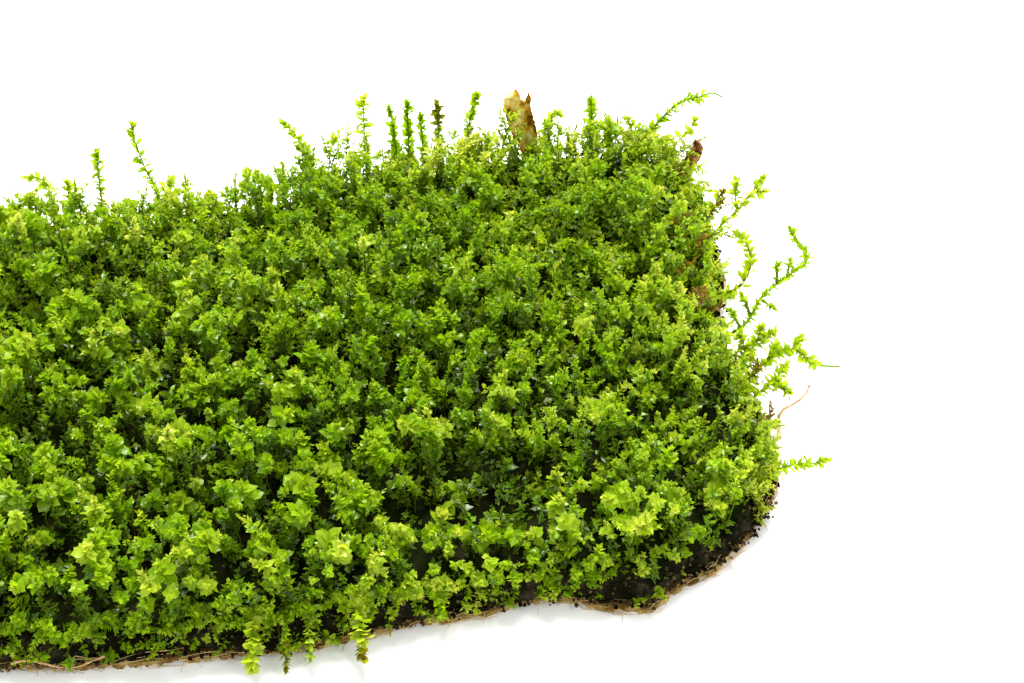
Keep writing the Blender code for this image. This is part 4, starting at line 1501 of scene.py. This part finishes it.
def leaf_chart_group() -> bpy.types.ShaderNodeTree:
    """Node group that turns a place on the colour chart into a leaf's colours and relief.

    Across the chart the tint runs from deep green to pale yellow, and up it the age runs from fresh to
    brown. Inside each swatch lies one leaf, with a pale midrib and margin, a base darkened as painted shade,
    and fine cells.
    Water lies on the leaves in patches over the whole piece.

    Returns:
        The group, which is built once.
    """
    found = bpy.data.node_groups.get("leaf_chart")
    if found:
        return found
    group, bench, given, wanted = shader_group(
        "leaf_chart", (("Chart", "Vector"), ("Place", "Vector")),
        (("Colour", "Color"), ("Glow", "Color"), ("Roughness", "Float"), ("Relief", "Float"),
         ("Wet", "Float")))
    split = bench.add("ShaderNodeSeparateXYZ")
    bench.feed(split.inputs[0], given["Chart"])
    steps, locals_ = [], []
    for axis in ("X", "Y"):
        scaled = bench.math("MULTIPLY", split.outputs[axis], float(SWATCHES))
        whole = bench.math("FLOOR", scaled)
        steps.append(bench.math("DIVIDE", whole, SWATCHES - 1.0))
        locals_.append(bench.math("SUBTRACT", scaled, whole))
    tint, age = steps
    across, along = locals_
    body = bench.mix("MULTIPLY", 1.0, bench.ramp(tint, FRESH_TINTS), bench.ramp(age, AGEING))
    body = bench.mix("MIX", bench.span(age, 0.35, 1.0), body, WITHERED)
    side = bench.math("ABSOLUTE", bench.math("SUBTRACT", across, 0.5))
    rib = bench.span(side, 0.06, 0.02)
    margin = bench.span(side, 0.22, 0.38)
    body = bench.mix("MIX", bench.math("MULTIPLY", rib, 0.35), body, MIDRIB)
    body = bench.mix("MIX", bench.math("MULTIPLY", margin, 0.45), body, MARGIN)
    # painted shade: each leaf darkens towards its base
    body = bench.mix("MULTIPLY", bench.span(along, 0.45, 0.12), body, BASE_SHADE)
    cells = bench.add("ShaderNodeTexVoronoi")
    cells.inputs["Scale"].default_value = SWATCHES * CELLS_PER_LEAF
    bench.feed(cells.inputs["Vector"], given["Chart"])
    grain = bench.math("MULTIPLY_ADD", cells.outputs["Distance"], -0.35, 1.1)
    body = bench.mix("MULTIPLY", 1.0, body, grain)
    bench.feed(wanted["Colour"], body)
    bench.feed(wanted["Glow"], bench.mix("MULTIPLY", 1.0, body, LIGHT_THROUGH))
    bench.feed(wanted["Roughness"], bench.math("MULTIPLY_ADD", cells.outputs["Distance"], 0.25, 0.3))
    bench.feed(wanted["Relief"], bench.math("MULTIPLY_ADD", rib, 0.6, cells.outputs["Distance"]))
    water = bench.add("ShaderNodeTexNoise")
    water.inputs["Scale"].default_value = WATER_SCALE
    water.inputs["Detail"].default_value = 2.0
    bench.feed(water.inputs["Vector"], given["Place"])
    wet = bench.span(water.outputs["Fac"], *WATER_SPAN)
    bench.feed(wanted["Wet"], bench.math("MULTIPLY", wet, WATER_WEIGHT))
    return group


def grain_group() -> bpy.types.ShaderNodeTree:
    """Node group of uneven colour and relief for soil, bark, roots and dead leaf.

    Returns:
        The group, which is built once.
    """
    found = bpy.data.node_groups.get("earthy_grain")
    if found:
        return found
    group, bench, given, wanted = shader_group(
        "earthy_grain", (("Place", "Vector"), ("Fine", "Float"), ("Coarse", "Float")),
        (("Grain", "Float"), ("Relief", "Float")))
    fine = bench.add("ShaderNodeTexNoise")
    fine.inputs["Detail"].default_value = 6.0
    fine.inputs["Roughness"].default_value = 0.7
    coarse = bench.add("ShaderNodeTexNoise")
    coarse.inputs["Detail"].default_value = 3.0
    for texture, label in ((fine, "Fine"), (coarse, "Coarse")):
        bench.feed(texture.inputs["Vector"], given["Place"])
        bench.feed(texture.inputs["Scale"], given[label])
    patches = bench.span(coarse.outputs["Fac"], 0.35, 0.65)
    half = bench.math("MULTIPLY", fine.outputs["Fac"], 0.6)
    bench.feed(wanted["Grain"], bench.math("MULTIPLY_ADD", patches, 0.4, half))
    bench.feed(wanted["Relief"], bench.math("ADD", fine.outputs["Fac"], patches))
    return group


@dataclass(frozen=True)
class EarthyFinish:
    """Rough natural stuff in a few colours that run into each other, paler where its tone is high."""

    name: str
    stops: tuple
    fine: float = 900.0
    coarse: float = 150.0
    stretch: tuple = (1.0, 1.0, 1.0)
    roughness: float = 0.85
    gloss: float = 0.12
    relief: float = 0.0006
    bump: float = 0.7
    film: tuple = ()                # colour of the film on its top, which pale bits stand out of
    film_level: float = 0.0071      # height, in metres, from which the film covers it
    film_fade: float = 0.0008

    def material(self) -> bpy.types.Material:
        """Build the material.

        Returns:
            The material.
        """
        material = bpy.data.materials.new(self.name)
        material.use_nodes = True
        bench = NodeBench(material.node_tree)
        shader = material.node_tree.nodes["Principled BSDF"]
        mapping = bench.add("ShaderNodeMapping")
        mapping.inputs["Scale"].default_value = self.stretch
        bench.feed(mapping.inputs["Vector"], bench.add("ShaderNodeTexCoord").outputs["Object"])
        group = bench.add("ShaderNodeGroup", node_tree=grain_group())
        group.inputs["Fine"].default_value = self.fine
        group.inputs["Coarse"].default_value = self.coarse
        bench.feed(group.inputs["Place"], mapping.outputs["Vector"])
        tone = bench.add("ShaderNodeAttribute", attribute_name="tone").outputs["Fac"]
        colour = bench.ramp(bench.math("ADD", group.outputs["Grain"], tone), self.stops)
        if self.film:
            height = bench.add("ShaderNodeSeparateXYZ")
            bench.feed(height.inputs[0], mapping.outputs["Vector"])
            cover = bench.span(height.outputs["Z"], self.film_level - self.film_fade, self.film_level)
            cover = bench.math("MULTIPLY", cover, bench.span(group.outputs["Grain"], 0.2, 0.6))
            cover = bench.math("MULTIPLY", cover, bench.span(tone, 0.06, 0.02))
            colour = bench.mix("MIX", cover, colour, self.film)
        bench.feed(shader.inputs["Base Color"], colour)
        bump = bench.add("ShaderNodeBump")
        bump.inputs["Strength"].default_value = self.bump
        bump.inputs["Distance"].default_value = self.relief
        bench.feed(bump.inputs["Height"], group.outputs["Relief"])
        bench.feed(shader.inputs["Normal"], bump.outputs["Normal"])
        shader.inputs["Roughness"].default_value = self.roughness
        shader.inputs["Specular IOR Level"].default_value = self.gloss
        return material


SOIL_FINISH = EarthyFinish(
    "damp_soil", ((0.2, (0.003, 0.003, 0.001)), (0.5, (0.011, 0.0105, 0.0045)), (0.75, (0.055, 0.045, 0.027)),
                  (1.0, (0.15, 0.1, 0.055))),
    gloss=0.0, film=(0.006, 0.0105, 0.001), fine=1300.0, relief=0.0012)
FELT_FINISH = EarthyFinish(
    "root_felt", ((0.15, (0.04, 0.02, 0.004)), (0.4, (0.2, 0.11, 0.025)), (0.65, (0.5, 0.32, 0.09)),
                  (1.0, (0.8, 0.6, 0.25))),
    gloss=0.05, fine=1600.0, coarse=220.0, film=(0.016, 0.013, 0.007), film_level=0.0014)
ROOT_FINISH = EarthyFinish(
    "root", ((0.2, (0.3, 0.15, 0.05)), (0.6, (0.62, 0.4, 0.18)), (0.9, (0.8, 0.6, 0.36))),
    fine=2200.0, coarse=420.0, roughness=0.6)
BARK_FINISH = EarthyFinish(
    "bark", ((0.2, (0.03, 0.012, 0.002)), (0.36, (0.18, 0.08, 0.006)), (0.5, (0.62, 0.31, 0.02)),
             (0.62, (0.87, 0.64, 0.14)), (0.8, (0.97, 0.88, 0.5))),
    fine=1100.0, coarse=420.0, stretch=(1.0, 1.0, 0.45))
DEAD_LEAF_FINISH = EarthyFinish(
    "dead_leaf", ((0.2, (0.015, 0.006, 0.003)), (0.42, (0.09, 0.03, 0.012)), (0.6, (0.3, 0.12, 0.04)),
                  (0.85, (0.55, 0.32, 0.14))),
    coarse=500.0)


def copy_solid(node: str, name: str) -> bpy.types.Object:
    """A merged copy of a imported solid, active and alone in the selection.

    Args:
        node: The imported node.
        name: The copy's name.

    Returns:
        The copy.
    """
    deselect_all()
    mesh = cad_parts[node].data.copy()
    mesh.name = name
    mesh.materials.clear()
    piece = bpy.data.objects.new(name, mesh)
    bpy.context.scene.collection.objects.link(piece)
    piece.select_set(True)
    bpy.context.view_layer.objects.active = piece
    bpy.ops.object.mode_set(mode="EDIT")
    bpy.ops.mesh.select_all(action="SELECT")
    bpy.ops.mesh.remove_doubles(threshold=0.00001)
    bpy.ops.object.mode_set(mode="OBJECT")
    return piece


def roughen(piece: bpy.types.Object, depth: float, size: float, channel: float) -> None:
    """Push a mesh's corners in and out along their normals.

    Args:
        piece: The object.
        depth: Furthest push.
        size: Distance over which the push changes.
        channel: Picks the pattern.
    """
    offset = Vector((channel * 7.1, channel * 3.7, channel * 5.3))
    places = []
    for vert in piece.data.vertices:
        spot = vert.co / (size * MM) + offset
        push = 0.7 * noise.noise(spot) + 0.3 * noise.noise(spot * 2.7)
        places.append(vert.co + vert.normal * (push * depth * MM))
    for vert, place in zip(piece.data.vertices, places):
        vert.co = place
    piece.data.update()


@dataclass
class Ground:
    """The soil, its crumbs, and the felt of roots under it."""

    voxel: float = 1.5
    crumbs: int = 2200
    spilled: int = 1900             # crumbs at the foot of the soil
    steep: int = 2400               # crumbs up the soil's sides, of which those at the front and right stay
    crumb_radius: float = 0.27
    crumb_limit: float = 0.5
    crumb_shape: tuple[float, float] = (0.5, 1.4)
    slump: float = 1.8              # how far the soil's foot has spread over the felt
    slump_top: float = 4.8          # height above which it hasn't
    level: float = 0.93             # Z of a normal from which the soil counts as level
    threads: int = 850
    frays: int = 1000
    long_roots: int = 30
    rim_band: float = 2.6           # width of the felt's finely divided rim
    rim_cuts: int = 9
    wear_limit: float = 0.7         # how far the rim is pushed out at most
    strand_step: float = 0.3        # how far a winding root strays from one point to the next
    strand_band: tuple[float, float] = (-1.8, 1.3)  # how far from the rim it may wind
    strand_heights: tuple[float, float] = (0.3, 5.8)
    fray_reach: tuple[float, float] = (0.8, 3.4)    # least and greatest
    fray_radius: tuple[float, float] = (0.05, 0.13)

    def soil(self) -> None:
        """Soil with a crumbled skin."""
        piece = copy_solid("soil_mat", "crumbly_soil")
        remesh = piece.modifiers.new("even", "REMESH")
        remesh.mode = "VOXEL"
        remesh.voxel_size = self.voxel * MM
        bpy.ops.object.modifier_apply(modifier=remesh.name)
        for vert in piece.data.vertices:
            low = max(0.0, min(1.0, (self.slump_top * MM - vert.co.z) / (2.0 * MM)))
            steep = min(1.0, 3.0 * max(0.0, 1.0 - abs(vert.normal.z)))
            out = Vector((vert.normal.x, vert.normal.y, 0.0)).normalized()
            vert.co += out * (low * steep * self.slump * MM)
        roughen(piece, depth=1.2, size=2.6, channel=1.0)
        roughen(piece, depth=0.8, size=0.9, channel=2.0)
        for vert in piece.data.vertices:
            vert.co = Vector(in_box(np.array(vert.co) / MM)) * MM
        piece.data.shade_smooth()
        rng = np.random.default_rng(SEED + 5)
        places = np.array([vert.co for vert in piece.data.vertices]) / MM
        normals = np.array([vert.normal for vert in piece.data.vertices])
        side = np.flatnonzero((normals[:, 2] > -0.4) & (normals[:, 2] < self.level))
        top = np.flatnonzero(normals[:, 2] >= self.level)
        chosen = np.concatenate([rng.choice(side, 3 * self.crumbs // 4), rng.choice(top, self.crumbs // 4)])
        rim = RimLine("soil_mat", SOIL_RIM)
        spots, _ = rim.at(rng.uniform(0.0, rim.length, self.spilled), rng.normal(1.1, 0.6, self.spilled))
        at_foot = np.column_stack([spots, rng.uniform(1.2, 2.6, self.spilled)])
        spots, out = rim.at(rng.uniform(0.0, rim.length, self.steep), rng.normal(-0.2, 0.5, self.steep))
        kept = (out[:, 1] < -0.5) | (out[:, 0] > FACING)
        on_sides = np.column_stack([spots, rng.uniform(2.6, 7.6, self.steep)])[kept]
        join_onto(piece, self._crumbs(np.vstack([places[chosen], at_foot, on_sides]), rng))
        piece.data.materials.clear()
        piece.data.materials.append(SOIL_FINISH.material())
        hand_over(piece, "soil_mat")

    def _crumbs(self, places: np.ndarray, rng: np.random.Generator) -> bpy.types.Object:
        """Small uneven lumps, as one object.

        Args:
            places: Where they lie.
            rng: Source of chance.

        Returns:
            The object.
        """
        deselect_all()
        bpy.ops.mesh.primitive_ico_sphere_add(subdivisions=1, radius=1.0)
        lump = bpy.context.object
        shape = np.array([vert.co for vert in lump.data.vertices])
        faces = np.array([tuple(face.vertices) for face in lump.data.polygons])
        bpy.data.objects.remove(lump, do_unlink=True)
        count = len(places)
        size = rng.lognormal(math.log(self.crumb_radius), 0.5, count)[:, None, None]
        uneven = rng.uniform(*self.crumb_shape, (count, len(shape), 1))
        points = in_box(places[:, None] + shape[None] * np.minimum(size, self.crumb_limit) * uneven)
        joined = (faces[None] + (len(shape) * np.arange(count))[:, None, None]).reshape(-1, 3)
        tone = np.repeat(rng.exponential(0.2, count) - 0.08, len(shape))
        return make_object("crumbs", points.reshape(-1, 3), joined, tone=tone)

    def _strand(self, rim: RimLine, span: float, count: int, height: float, radius: float,
                rng: np.random.Generator) -> tuple[np.ndarray, np.ndarray]:
        """One root that winds along the rim.

        Args:
            rim: The line that it follows.
            span: Length along it.
            count: How many points it has.
            height: Height about which it winds.
            radius: Radius at its start.
            rng: Source of chance.

        Returns:
            Corner places and triangles.
        """
        along = rng.uniform(0.0, rim.length) + np.linspace(0.0, span, count)
        out = rng.uniform(-1.4, 0.9) + np.cumsum(rng.normal(0.0, self.strand_step, count))
        spots, _ = rim.at(along, np.clip(out, *self.strand_band))
        level = np.clip(height + np.cumsum(rng.normal(0.0, self.strand_step, count)), *self.strand_heights)
        course = in_box(np.column_stack([spots, level]), 2.0 * radius)
        return tube(smooth_course(course, 2 * count - 1) if span > 12.0 else course, radius, 0.6)

    def _fray(self, rim: RimLine, rng: np.random.Generator) -> tuple[np.ndarray, np.ndarray]:
        """One root end that sticks out of the felt and droops to the ground.

        Args:
            rim: The felt's rim.
            rng: Source of chance.

        Returns:
            Corner places and triangles.
        """
        along = rng.uniform(0.0, rim.length)
        spot, out = rim.at(along, -rng.uniform(0.4, 1.8))
        turn = rng.normal(0.0, 0.9)
        way = np.array([out[0] * math.cos(turn) - out[1] * math.sin(turn),
                        out[0] * math.sin(turn) + out[1] * math.cos(turn)])
        shortest, longest = self.fray_reach
        reach = min(shortest + rng.exponential(1.0), longest)
        level = rng.uniform(0.4, 1.7)
        steps = np.linspace(0.0, 1.0, 4)[:, None]
        bend = rng.normal(0.0, 0.35, (4, 2)) * steps
        droop = level * (1.0 - 0.8 * steps ** 2) + rng.normal(0.0, 0.12, (4, 1))
        course = np.hstack([spot + steps * reach * way + bend, np.maximum(droop, 0.15)])
        return tube(in_box(course, 0.1), rng.uniform(*self.fray_radius), 0.4)

    def _divided_felt(self) -> bpy.types.Object:
        """Copy the felt and divide its rim finely, ready to be frayed.

        Returns:
            The copy.
        """
        piece = copy_solid("root_felt", "matted_felt")
        bpy.ops.object.mode_set(mode="EDIT")
        bpy.ops.mesh.select_mode(type="FACE")
        for side in (1.0, -1.0):
            self._select_faces(piece, lambda face, side=side: face.normal.z * side > 0.9)
            bpy.ops.mesh.inset(thickness=self.rim_band * MM, use_boundary=True)
        self._select_faces(piece, lambda face: len(face.verts) == 3 and abs(face.normal.z) < 0.9)
        bpy.ops.mesh.tris_convert_to_quads(face_threshold=math.pi, shape_threshold=math.pi)
        bpy.ops.mesh.select_mode(type="EDGE")
        bm = bmesh.from_edit_mesh(piece.data)
        for edge in bm.edges:
            across = (edge.verts[1].co - edge.verts[0].co).length < 3.2 * MM
            rim = any(len(face.verts) == 4 for face in edge.link_faces)
            edge.select_set(rim and not across)
        bmesh.update_edit_mesh(piece.data)
        bpy.ops.mesh.subdivide(number_cuts=self.rim_cuts)
        bpy.ops.mesh.select_mode(type="FACE")
        self._select_faces(piece, lambda face: len(face.verts) == 4 and face.calc_area() < (4.0 * MM) ** 2)
        bpy.ops.mesh.subdivide(number_cuts=1)
        bpy.ops.mesh.select_all(action="SELECT")
        bpy.ops.mesh.quads_convert_to_tris()
        bpy.ops.object.mode_set(mode="OBJECT")
        return piece

    @staticmethod
    def _select_faces(piece: bpy.types.Object, test: Callable) -> None:
        """Select faces of a piece in edit mode, and nothing else.

        Args:
            piece: The piece.
            test: Says of a face whether it is selected.
        """
        bpy.ops.mesh.select_all(action="DESELECT")
        bm = bmesh.from_edit_mesh(piece.data)
        for face in bm.faces:
            if test(face):
                face.select_set(True)
        bmesh.update_edit_mesh(piece.data)

    def _wear_rim(self, piece: bpy.types.Object, rim: RimLine) -> None:
        """Wear the felt's rim back unevenly, and lift its upper face here and there.

        Args:
            piece: The felt.
            rim: Its rim.
        """
        for vert in piece.data.vertices:
            spot = vert.co / MM
            gaps = rim.points - np.array(spot[:2])
            nearest = int(np.argmin(np.einsum("ij,ij->i", gaps, gaps)))
            away = float(np.linalg.norm(gaps[nearest]))
            if away > 0.9 * self.rim_band:
                continue
            coarse = 0.9 * wander(spot.x, spot.y, 2.1, 41.0)
            worn = -0.2 + coarse + 0.6 * wander(spot.x, spot.y, 0.8, 43.0 + spot.z)
            shift = -max(-self.wear_limit, worn) * (1.0 - away / self.rim_band)
            lift = 0.45 * wander(spot.x, spot.y, 1.3, 47.0) * min(1.0, spot.z / 1.5)
            vert.co += Vector((*(rim.out[nearest] * shift), lift)) * MM
            vert.co.xy = in_box(np.array(vert.co) / MM)[:2] * MM

    def felt(self) -> None:
        """Felt with loose threads along its rim, and longer roots up the foot of the soil."""
        piece = self._divided_felt()
        rng = np.random.default_rng(SEED + 6)
        rims = RimLine("root_felt", 0.0), RimLine("soil_mat", SOIL_RIM)
        self._wear_rim(piece, rims[0])
        strands = [self._strand(rims[0], span=rng.uniform(2.0, 11.0), count=6,
                                height=rng.uniform(0.3, 1.6), radius=rng.uniform(0.05, 0.14), rng=rng)
                   for _ in range(self.threads)]
        strands += [self._fray(rims[0], rng) for _ in range(self.frays)]
        strands += [self._strand(rims[1], span=rng.uniform(14.0, 46.0), count=12,
                                 height=rng.uniform(1.2, 3.2), radius=rng.uniform(0.1, 0.2), rng=rng)
                    for _ in range(self.long_roots)]
        starts = np.cumsum([0, *(len(points) for points, _ in strands)])
        threads = make_object(
            "threads", np.vstack([points for points, _ in strands]),
            np.vstack([faces + start for (_, faces), start in zip(strands, starts)]),
            tone=np.concatenate([np.full(len(points), rng.uniform(0.05, 0.6)) for points, _ in strands]))
        join_onto(piece, threads)
        piece.data.materials.clear()
        piece.data.materials.append(FELT_FINISH.material())
        hand_over(piece, "root_felt")

    def build(self) -> None:
        """Make both layers."""
        self.felt()
        self.soil()


@dataclass
class Litter:
    """Bark, dead leaf, roots and a lump of soil along the rim."""

    bark_middle: float = 47.3       # where the bark stands along the strip
    bark_height: float = 18.8
    bark_waist: float = 0.45        # of its width, left at its foot
    bark_lean: float = 1.7          # how far its foot leans right and its left prong left

    def _shape_bark(self, piece: bpy.types.Object) -> None:
        """Draw the bark in towards its foot, and lean its left prong outwards.

        Args:
            piece: The bark.
        """
        foot = min(vert.co.z for vert in piece.data.vertices)
        middle = self.bark_middle + ORIGIN_SHIFT[0]
        for vert in piece.data.vertices:
            up = min(1.0, (vert.co.z - foot) / (self.bark_height * MM))
            side = vert.co.x / MM - middle + up
            low = 1.0 - max(0.0, min(1.0, (up - 0.25) / 0.5))
            prong = max(0.0, up - 0.72) / 0.28 * max(0.0, min(1.0, 0.25 - 0.65 * side))
            side *= 1.0 - (1.0 - self.bark_waist) * low
            vert.co.x = (middle - up + side + self.bark_lean * (low - 0.7 * prong)) * MM

    def _dress(self, node: str, name: str, finish: EarthyFinish, cuts: int, depth: float,
               size: float, shrink: float = 0.0) -> None:
        """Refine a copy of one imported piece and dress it.

        Args:
            node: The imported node.
            name: The piece's name.
            finish: What it is made of.
            cuts: How finely its faces are divided.
            depth: How rough it is.
            size: Distance over which its roughness changes.
            shrink: How far its skin lies inside the solid's.
        """
        piece = copy_solid(node, name)
        bpy.ops.object.mode_set(mode="EDIT")
        bpy.ops.transform.shrink_fatten(value=-shrink * MM)
        bpy.ops.mesh.subdivide(number_cuts=cuts, smoothness=0.3)
        bpy.ops.mesh.quads_convert_to_tris()
        bpy.ops.object.mode_set(mode="OBJECT")
        if node == "bark_flake":
            self._shape_bark(piece)
        roughen(piece, depth, size, float(len(name)))
        piece.data.shade_smooth()
        piece.data.materials.append(finish.material())
        hand_over(piece, node)

    def build(self) -> None:
        """Make every scrap."""
        self._dress("bark_flake", "split_bark", BARK_FINISH, cuts=4, depth=0.9, size=1.2)
        self._dress("dead_leaf", "curled_leaf", DEAD_LEAF_FINISH, cuts=3, depth=0.55, size=0.8)
        self._dress("loose_root", "pale_root", ROOT_FINISH, cuts=3, depth=0.22, size=0.5, shrink=0.16)
        self._dress("edge_root", "curved_root", ROOT_FINISH, cuts=3, depth=0.3, size=0.8, shrink=0.28)
        self._dress("soil_crumb", "soil_lump", SOIL_FINISH, cuts=3, depth=0.4, size=0.6)


@dataclass
class Studio:
    """Pale floor, soft light and the camera. The floor and the lamps' places are in metres."""

    lens: float = 70.0
    film_width: float = 36.0
    distance: float = 430.0
    elevation: float = 45.0
    azimuth: float = -6.0
    target: tuple = (38.5, 3.0, 8.0)
    floor_size: float = 6.0
    floor_drop: float = 0.00002     # how far the floor lies under the felt
    floor_tone: float = 0.9
    sky: float = 1.0                # strength of the white surroundings
    lamp_size: float = 0.6
    lamps: tuple = (("key", (0.06, 0.55, 1.08), 44.0), ("fill", (0.6, -0.6, 1.1), 5.0))

    def camera(self) -> None:
        """Set the camera at the photograph's angle."""
        turn, rise = math.radians(self.azimuth), math.radians(self.elevation)
        back = Vector((math.sin(turn) * math.cos(rise), -math.cos(turn) * math.cos(rise), math.sin(rise)))
        data = bpy.data.cameras.new("camera")
        data.lens = self.lens
        data.sensor_width = self.film_width
        data.clip_start = 0.01
        data.clip_end = 20.0
        camera = bpy.data.objects.new("camera", data)
        bpy.context.scene.collection.objects.link(camera)
        camera.location = (Vector(shifted(self.target)) + back * self.distance) * MM
        camera.rotation_mode = "QUATERNION"
        camera.rotation_quaternion = (-back).to_track_quat("-Z", "Y")
        bpy.context.scene.camera = camera

    def floor(self) -> None:
        """Lay the floor."""
        deselect_all()
        bpy.ops.mesh.primitive_plane_add(size=self.floor_size, location=(0.0, 0.0, -self.floor_drop))
        floor = bpy.context.object
        floor.name = "floor"
        material = bpy.data.materials.new("floor")
        material.use_nodes = True
        shader = material.node_tree.nodes["Principled BSDF"]
        shader.inputs["Base Color"].default_value = (*(self.floor_tone,) * 3, 1.0)
        shader.inputs["Roughness"].default_value = 0.9
        shader.inputs["Specular IOR Level"].default_value = 0.1
        floor.data.materials.append(material)
        floor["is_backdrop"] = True

    def _lamp(self, name: str, place: tuple, power: float) -> None:
        """Hang one soft lamp that looks at the moss.

        Args:
            name: The lamp's name.
            place: Where it hangs.
            power: Its power in watts.
        """
        data = bpy.data.lights.new(name, "AREA")
        data.size = self.lamp_size
        data.energy = power
        lamp = bpy.data.objects.new(name, data)
        bpy.context.scene.collection.objects.link(lamp)
        lamp.location = place
        lamp.rotation_mode = "QUATERNION"
        lamp.rotation_quaternion = (-Vector(place)).to_track_quat("-Z", "Y")

    def light(self) -> None:
        """Light it from above and behind."""
        world = bpy.data.worlds.new("world")
        world.use_nodes = True
        background = world.node_tree.nodes["Background"]
        background.inputs["Color"].default_value = (1.0, 1.0, 1.0, 1.0)
        background.inputs["Strength"].default_value = self.sky
        bpy.context.scene.world = world
        for lamp in self.lamps:
            self._lamp(*lamp)
        bpy.context.scene.view_settings.view_transform = "Standard"

    def build(self) -> None:
        """Set up the whole studio."""
        self.camera()
        self.floor()
        self.light()


def main() -> None:
    """Build every piece, then the studio."""
    blades = {form: blade.model() for form, blade in BLADES.items()}
    Ground().build()
    MossCover(blades).build(LeafFinish("moss_leaf").material())
    StrayShoots(blades).build(LeafFinish("young_moss_leaf", glow=0.58).material())
    Litter().build()
    Studio().build()
    pieces = [item for item in bpy.data.objects if item.type == "MESH" and not item.hide_render]
    log.info("%d faces in all", sum(len(item.data.polygons) for item in pieces))


CAD_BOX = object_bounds()

if __name__ == "__main__":
    logging.basicConfig(level=logging.INFO, format="%(message)s")
    main()
